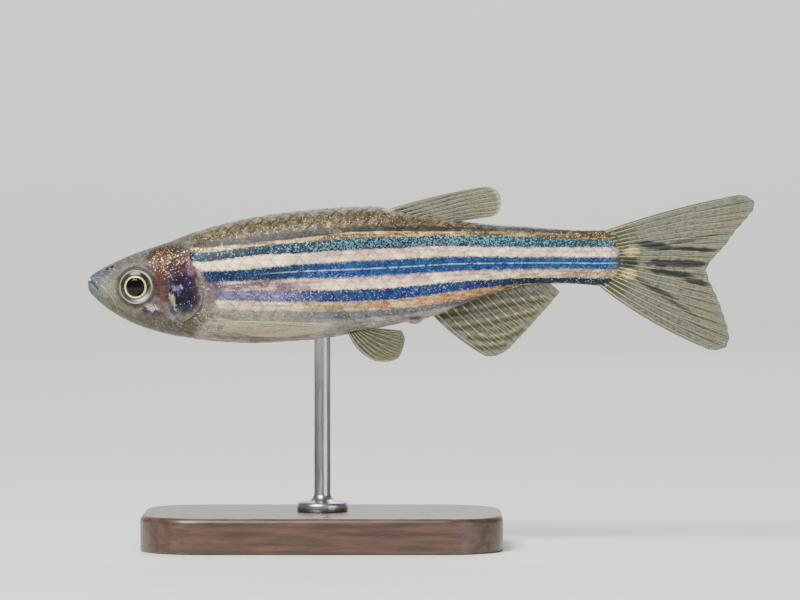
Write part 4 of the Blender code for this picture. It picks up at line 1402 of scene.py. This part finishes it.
def lathe(name, outline, centre, axis, sides, values=None):
    """A turned piece: an outline of (radius, distance along the axis), and values by its points."""
    axis = np.asarray(axis, float)
    helper = (0.0, 0.0, 1.0) if abs(axis[2]) < 0.9 else (1.0, 0.0, 0.0)
    across = units(np.cross(axis, helper))
    up = np.cross(axis, across)
    angle = 2 * math.pi * np.arange(sides) / sides
    spokes = across * np.cos(angle)[:, None] + up * np.sin(angle)[:, None]
    outline = np.asarray(outline, float)
    inner = outline[1:-1]
    rings = np.asarray(centre) + inner[:, 1, None, None] * axis + inner[:, 0, None, None] * spokes
    ends = [centre + axis * outline[i, 1] for i in (0, -1)]
    corners = np.concatenate([rings.reshape(-1, 3), ends])
    faces = grid_faces(len(inner), sides, True).reshape(-1, 4).tolist()
    low, high = len(corners) - 2, len(corners) - 1
    last = (len(inner) - 1) * sides
    for i in range(sides):
        j = (i + 1) % sides
        faces += [[low, j, i], [high, last + i, last + j]]
    spread = {k: np.concatenate([np.repeat(v[1:-1], sides), v[[0, -1]]]) for k, v in (values or {}).items()}
    return make_mesh(name, corners, faces, spread)


def eye_looks(start):
    """Pupil, bright ring, clouded ring and the thin pale rim, by distance from the middle, under a painted
    reflection and painted shade.
    """
    ring = start.attribute("ring") + (start.noise(0.2 * MM) - 0.5) * 0.03
    streak = start.noise(0.14 * MM, 3.0)
    colour = layered(
        ring.ramp([
            (0.0, grey(0.001)), (0.55, grey(0.001)), (0.575, bright(224, 206, 140)),
            (0.625, bright(236, 226, 172)), (0.65, bright(150, 140, 90)), (0.68, paint(62, 62, 36)),
            (0.74, paint(44, 50, 38)), (0.85, paint(64, 72, 56)), (0.91, paint(90, 98, 82)),
            (0.94, bright(160, 170, 158)), (0.975, bright(196, 200, 186)), (1.0, paint(52, 54, 48)),
        ]),
        (ring.ease(0.66, 0.7) * streak.ease(0.4, 0.7) * 0.4, paint(122, 124, 92)),
        # Painted reflections on the iris and its rim, then painted shade on the ring, mostly at its top
        (start.attribute("sheen"), bright(236, 244, 244)),
        (start.attribute("shade"), paint(36, 40, 34)),
    )
    return {
        "Base Color": colour, "Metallic": ring.ease(0.54, 0.56) * 0.35, "Roughness": 0.22 + streak * 0.1,
        "Specular IOR Level": 0.1, "Coat Weight": 0.6, "Coat IOR": 1.33, "Coat Roughness": 0.02,
        "Normal": bumped(start, streak, 0.004 * MM),
    }


def painted_eye_light(rear, up):
    """Where painted reflections shine on an eye and where painted shade darkens its ring, at places behind
    and above its middle.
    """
    away, turn = np.hypot(rear, up), np.arctan2(up, rear)
    iris = ease(away, 0.66, 0.72)
    sheen = bump(turn, math.radians(-62), 0.5) * bump(away, 0.81, 0.1)
    sheen += bump(turn, math.radians(38), 0.6) * bump(away, 0.94, 0.04)
    sheen += 0.35 * bump(turn, math.radians(-95), 0.7) * bump(away, 0.95, 0.03)
    shade = 0.5 * bump(turn, math.radians(80), 0.9) + 0.35 * bump(turn, math.radians(10), 0.5)
    shade = shade * iris * bump(away, 0.8, 0.1) + 0.3 * bump(turn, 0.2, 0.7) * bump(away, 0.6, 0.05)
    return {"sheen": np.minimum(sheen, 1.0) * iris, "shade": shade}


class DANIO_OT_eyes(bpy.types.Operator):
    """Build both eyes"""

    bl_idname = "danio.eyes"
    bl_label = "Eyes"

    def execute(self, context):
        """Turned shapes with a raised lens and a shallow groove around it."""
        looks = material("danio_eye", eye_looks)
        rear = np.linspace(-0.5 * math.pi, 0, 12)[:-1]
        front = np.linspace(0, 0.5 * math.pi, 40)
        r = np.concatenate([np.cos(rear), np.cos(front)]) * (EYE_RADIUS - 0.01 * MM)
        d = np.concatenate([np.sin(rear) * EYE_DEPTH, np.sin(front) * EYE_BULGE])
        part = r / EYE_RADIUS
        lens = np.where(d > 0, 1 - ease(part, 0.42, 0.56), 0)
        d = d + lens * 0.1 * MM - 0.02 * MM * bump(part, 0.6, 0.06) * (d > 0)
        r[0] = r[-1] = 0.0
        ring = np.where(np.arange(len(r)) < len(rear), 1.0, part)
        ring[-1] = 0.0
        for name, side in (("left", -1), ("right", 1)):
            centre, look = eye_frame(side)
            obj = lathe("eyeball_" + name, np.column_stack([r, d]), centre, look, 72, {"ring": ring})
            corners = (np.array([v.co[:] for v in obj.data.vertices]) - centre) / EYE_RADIUS
            # Painted reflections and painted shade, as values at the eye's corners
            for key, values in painted_eye_light(corners[:, 0], corners[:, 2]).items():
                add_values(obj.data, key, values)
            dress(obj, looks, ["eye_" + name])
        return {"FINISHED"}


def barbel_looks(start):
    """Soft pale skin."""
    fine = start.noise(0.1 * MM)
    base = fine.mix(paint(150, 148, 132), paint(186, 180, 160))
    relief = bumped(start, fine, 0.004 * MM)
    return {"Base Color": base, "Roughness": 0.35, "Coat Weight": 0.4, "Normal": relief}


class DANIO_OT_barbels(bpy.types.Operator):
    """Build the two pairs of feelers that lie along the jaw"""

    bl_idname = "danio.barbels"
    bl_label = "Barbels"

    def execute(self, context):
        """Tapered round threads whose roots are sunk into the skin."""
        steps = 24
        t = np.linspace(0, 1, steps)
        clear = 0.03 * MM * ease(t, 0, 0.3) - 0.02 * MM * (1 - ease(t, 0, 0.2))
        paths, radii, normals = [], [], []
        for side in (-1, 1):
            for line, thick in zip(BARBELS, BARBEL_RADII):
                station, height = even_curve(line, steps).T
                out = share(flank(station, height)) + clear
                paths.append(np.column_stack([x_at(station), side * out, z_at(height)]))
                radii.append(thick * (1 - 0.8 * t**1.3))
                normals.append(np.tile([0.0, side, 0.2], (steps, 1)))
        corners, faces = tubes(np.array(paths), np.array(radii), np.array(normals), 10)
        dress(make_mesh("barbels", corners, faces), material("danio_barbel", barbel_looks))
        return {"FINISHED"}


class DANIO_OT_median_fins(bpy.types.Operator):
    """Build the dorsal, anal and tail fins with their rays"""

    bl_idname = "danio.median_fins"
    bl_label = "Dorsal, anal and tail fins"

    def execute(self, context):
        """The fins in the fish's middle plane, which share their materials."""
        colours, sizes = context.scene.danio_colours, context.scene.danio_sizes
        clear = material("fin_clear", membrane_looks(tuple(colours.membrane), 0.52))
        bone = material("fin_rays", ray_looks(tuple(colours.rays), 0.62))
        dorsal_root = sunk_root(back, DORSAL_ROOT, -0.3 * MM)
        anal_root = sunk_root(belly, ANAL_ROOT, 0.3 * MM)
        dorsal = Fin("dorsal_fin", dorsal_root, DORSAL_EDGE, 9, in_middle, -0.15 * MM)
        anal = Fin("anal_fin", anal_root, ANAL_EDGE, 14, in_middle, 0.2 * MM)
        for fin in (dorsal, anal, *tail_lobes()):
            make_membrane(fin, clear)
            make_rays(fin, bone, sizes.ray_thickness)
        return {"FINISHED"}


class DANIO_OT_paired_fins(bpy.types.Operator):
    """Build the pelvic and pectoral fins with their rays"""

    bl_idname = "danio.paired_fins"
    bl_label = "Pelvic and pectoral fins"

    def execute(self, context):
        """The softer fins of both sides, clearer and with finer rays."""
        colours, sizes = context.scene.danio_colours, context.scene.danio_sizes
        clear = material("pelvic_clear", membrane_looks(tuple(colours.membrane), 0.46))
        bone = material("pelvic_rays", ray_looks(paint(196, 192, 150, 0.7), 0.6))
        pale = material("pectoral_clear", membrane_looks(paint(214, 206, 172, 0.9), 0.12, -0.2))
        straw = material("pectoral_rays", ray_looks(bright(236, 226, 178), 0.52, -0.6))
        for name, side in (("left", -1), ("right", 1)):
            for fin, skin, rays, thickness in (
                (pelvic_fin("pelvic_fin_" + name, side), clear, bone, 0.75),
                (pectoral_fin("pectoral_fin_" + name, side), pale, straw, 0.42),
            ):
                make_membrane(fin, skin)
                make_rays(fin, rays, thickness * sizes.ray_thickness)
        return {"FINISHED"}


def wood_looks(colour):
    """Dark stained wood with fine grain along the base."""

    def looks(start):
        """The settings of the wood's shader."""
        grain = start.grain((260.0, 2600.0, 2600.0), 4.0)
        pores = start.grain((900.0, 9000.0, 9000.0))
        deep, light = (tuple(min(1, c * part) for c in colour) for part in (0.55, 1.5))
        base = layered(
            grain.ease(0.3, 0.7).mix(deep, light),
            (pores.ease(0.58, 0.7) * 0.6, tuple(c * 0.3 for c in colour)),
        )
        return {
            "Base Color": base, "Roughness": 0.34 + pores * 0.2, "Coat Weight": 0.35,
            "Coat Roughness": 0.2, "Normal": bumped(start, grain * 0.5 + pores * 0.5, 0.03 * MM),
        }

    return looks


def steel_looks(start):
    """Steel brushed along the rod."""
    brushed = start.grain((6000.0, 6000.0, 500.0))
    base = brushed.mix(bright(150, 152, 156), bright(182, 182, 180))
    return {
        "Base Color": base, "Metallic": 1.0, "Roughness": 0.2 + brushed * 0.18,
        "Normal": bumped(start, brushed, 0.004 * MM),
    }


class DANIO_OT_stand(bpy.types.Operator):
    """Build the wooden base and the steel rod"""

    bl_idname = "danio.stand"
    bl_label = "Stand"

    def execute(self, context):
        """The base from level outlines, and the rod with its flange as one turned piece."""
        centre_x = x_at(ROD_STATION)
        length, depth, thickness = BASE_SIZE
        round_off = np.linspace(0, math.pi / 2, 9)
        levels = [(0.0, 0.12 * MM), (0.12 * MM, 0.0)]
        levels += [
            (thickness - BASE_EDGE * (1 - math.sin(a)), BASE_EDGE * (1 - math.cos(a))) for a in round_off
        ]
        quarter = np.linspace(0, 1, CORNER_POINTS)
        rings = []
        for z, inset in levels:
            radius = BASE_CORNER - inset
            for corner, (sx, sy) in enumerate(((1, 1), (-1, 1), (-1, -1), (1, -1))):
                a = math.pi / 2 * (corner + quarter)
                x = centre_x + sx * (length / 2 - BASE_CORNER) + radius * np.cos(a)
                y = sy * (depth / 2 - BASE_CORNER) + radius * np.sin(a)
                rings.append(np.column_stack([x, y, np.full(CORNER_POINTS, z)]))
        around = 4 * CORNER_POINTS
        faces = grid_faces(len(levels), around, True).reshape(-1, 4).tolist()
        top_ring = (len(levels) - 1) * around
        faces += [list(reversed(range(around))), list(range(top_ring, top_ring + around))]
        base = make_mesh("stand_base_wood", np.concatenate(rings), faces)
        base.data.set_sharp_from_angle(angle=math.radians(40))
        wood = material("stand_wood", wood_looks(tuple(context.scene.danio_colours.wood)))
        dress(base, wood, ["stand_base"])

        top = z_at(float(belly(ROD_STATION))) + 0.12 * MM
        flange, tall = ROD_FLANGE
        foot = thickness - 1.0 * MM
        outline = [
            (0.0, foot), (ROD_RADIUS, foot), (ROD_RADIUS, thickness),
            (flange - 0.05 * MM, thickness), (flange, thickness + 0.05 * MM),
        ]
        for a in round_off:
            outline.append((
                flange - 0.3 * MM * (1 - math.cos(a)), thickness + tall * 0.6 + 0.3 * MM * math.sin(a)
            ))
        outline += [
            (ROD_RADIUS + 0.4 * MM, thickness + tall * 1.15), (ROD_RADIUS + 0.1 * MM, thickness + tall * 1.5),
            (ROD_RADIUS, thickness + tall * 1.9), (ROD_RADIUS, top - 0.05 * MM), (ROD_RADIUS, top),
            (0.0, top),
        ]
        rod = lathe("stand_rod_steel", outline, np.array([centre_x, 0.0, 0.0]), (0, 0, 1), 64)
        rod.data.set_sharp_from_angle(angle=math.radians(50))
        dress(rod, material("stand_steel", steel_looks), ["stand_rod"])
        return {"FINISHED"}


def floor_looks(colour):
    """Matt paper with a faint unevenness."""

    def looks(start):
        """The settings of the paper's shader."""
        base = start.noise(0.05, 2.0).mix(tuple(c * 0.97 for c in colour), colour)
        return {"Base Color": base, "Roughness": 0.6 + start.noise(0.002, 2.0) * 0.1}

    return looks


def area_light(name, place, aim, size, power, colour=(1, 1, 1)):
    """A round soft light that shines at a place."""
    light = bpy.data.lights.new(name, "AREA")
    light.shape = "DISK"
    light.size = size
    light.energy = power
    light.color = colour
    obj = bpy.data.objects.new(name, light)
    bpy.context.scene.collection.objects.link(obj)
    point_at(obj, place, aim)


def point_at(obj, place, aim):
    """Puts a light or a camera at a place and turns it towards another."""
    obj.location = place
    obj.rotation_euler = (Vector(aim) - Vector(place)).to_track_quat("-Z", "Y").to_euler()


class DANIO_OT_stage(bpy.types.Operator):
    """Build the floor, the backdrop, the lights and the camera"""

    bl_idname = "danio.stage"
    bl_label = "Stage"

    def execute(self, context):
        """A sheet of paper that curves up behind the model, soft lights, and the photo's view."""
        sizes = context.scene.danio_sizes
        line = [(-2.0, 0.0), (0.6, 0.0)]
        line += [
            (0.6 + 0.35 * math.sin(a), 0.35 * (1 - math.cos(a))) for a in np.linspace(0, math.pi / 2, 24)[1:]
        ]
        line.append((0.95, 2.0))
        corners = [(x, y, z) for y, z in line for x in (-2.5, 2.5)]
        faces = grid_faces(len(line), 2).reshape(-1, 4)[:, ::-1].tolist()
        floor = make_mesh("studio_floor", corners, faces)
        paper = material("studio_paper", floor_looks(tuple(context.scene.danio_colours.floor)))
        floor.data.materials.append(paper)

        fish = (0.0, 0.0, 0.017)
        area_light("key", (-0.16, -0.26, 0.34), fish, 0.24, 4.6, (1.0, 0.98, 0.95))
        area_light("fill", (0.30, -0.30, 0.12), fish, 0.30, 0.7, (0.93, 0.96, 1.0))
        area_light("rim", (0.05, 0.28, 0.26), fish, 0.20, 0.5)
        area_light("backdrop", (0.0, 0.42, 0.7), (0.0, 0.95, 0.5), 0.5, 7.0)
        world = bpy.data.worlds.new("studio")
        world.use_nodes = True
        sky = world.node_tree.nodes["Background"].inputs
        sky["Color"].default_value = (0.80, 0.82, 0.85, 1)
        sky["Strength"].default_value = 0.28
        context.scene.world = world

        camera = bpy.data.cameras.new("camera")
        view = bpy.data.objects.new("camera", camera)
        context.scene.collection.objects.link(view)
        aim = Vector((x_at(VIEW_STATION), 0.0, VIEW_HEIGHT))
        away = Vector((0.0, -math.cos(VIEW_RISE), math.sin(VIEW_RISE)))
        point_at(view, aim + sizes.view_distance * away, aim)
        camera.sensor_width = SENSOR_WIDTH
        camera.lens = SENSOR_WIDTH * sizes.view_distance / (PHOTO_WIDTH / PIXELS_PER_MM * MM)
        camera.clip_start = 0.01
        camera.clip_end = 20.0
        context.scene.camera = view
        return {"FINISHED"}


OPERATORS = (
    DANIO_OT_skin, DANIO_OT_scales, DANIO_OT_eyes, DANIO_OT_barbels, DANIO_OT_median_fins,
    DANIO_OT_paired_fins, DANIO_OT_stand, DANIO_OT_stage,
)


class DANIO_PT_panel(bpy.types.Panel):
    """The sidebar's list of sizes, colours and pieces"""

    bl_label = "Zebra danio"
    bl_idname = "DANIO_PT_panel"
    bl_space_type = "VIEW_3D"
    bl_region_type = "UI"
    bl_category = "Danio"

    def draw(self, context):
        """Lists the properties and then the operators."""
        for group in (context.scene.danio_sizes, context.scene.danio_colours):
            for key in group.__annotations__:
                self.layout.prop(group, key)
        for operator in OPERATORS:
            self.layout.operator(operator.bl_idname)


CLASSES = (DanioSizes, DanioColours, *OPERATORS, DANIO_PT_panel)


def register():
    """Adds the add-on's classes and its properties to the scene."""
    for cls in CLASSES:
        bpy.utils.register_class(cls)
    bpy.types.Scene.danio_sizes = PointerProperty(type=DanioSizes)
    bpy.types.Scene.danio_colours = PointerProperty(type=DanioColours)


def unregister():
    """Takes them away again."""
    del bpy.types.Scene.danio_colours
    del bpy.types.Scene.danio_sizes
    for cls in reversed(CLASSES):
        bpy.utils.unregister_class(cls)


def main():
    """Builds every piece in order."""
    register()
    for operator in OPERATORS:
        group, name = operator.bl_idname.split(".")
        getattr(getattr(bpy.ops, group), name)()


if __name__ == "__main__":
    main()
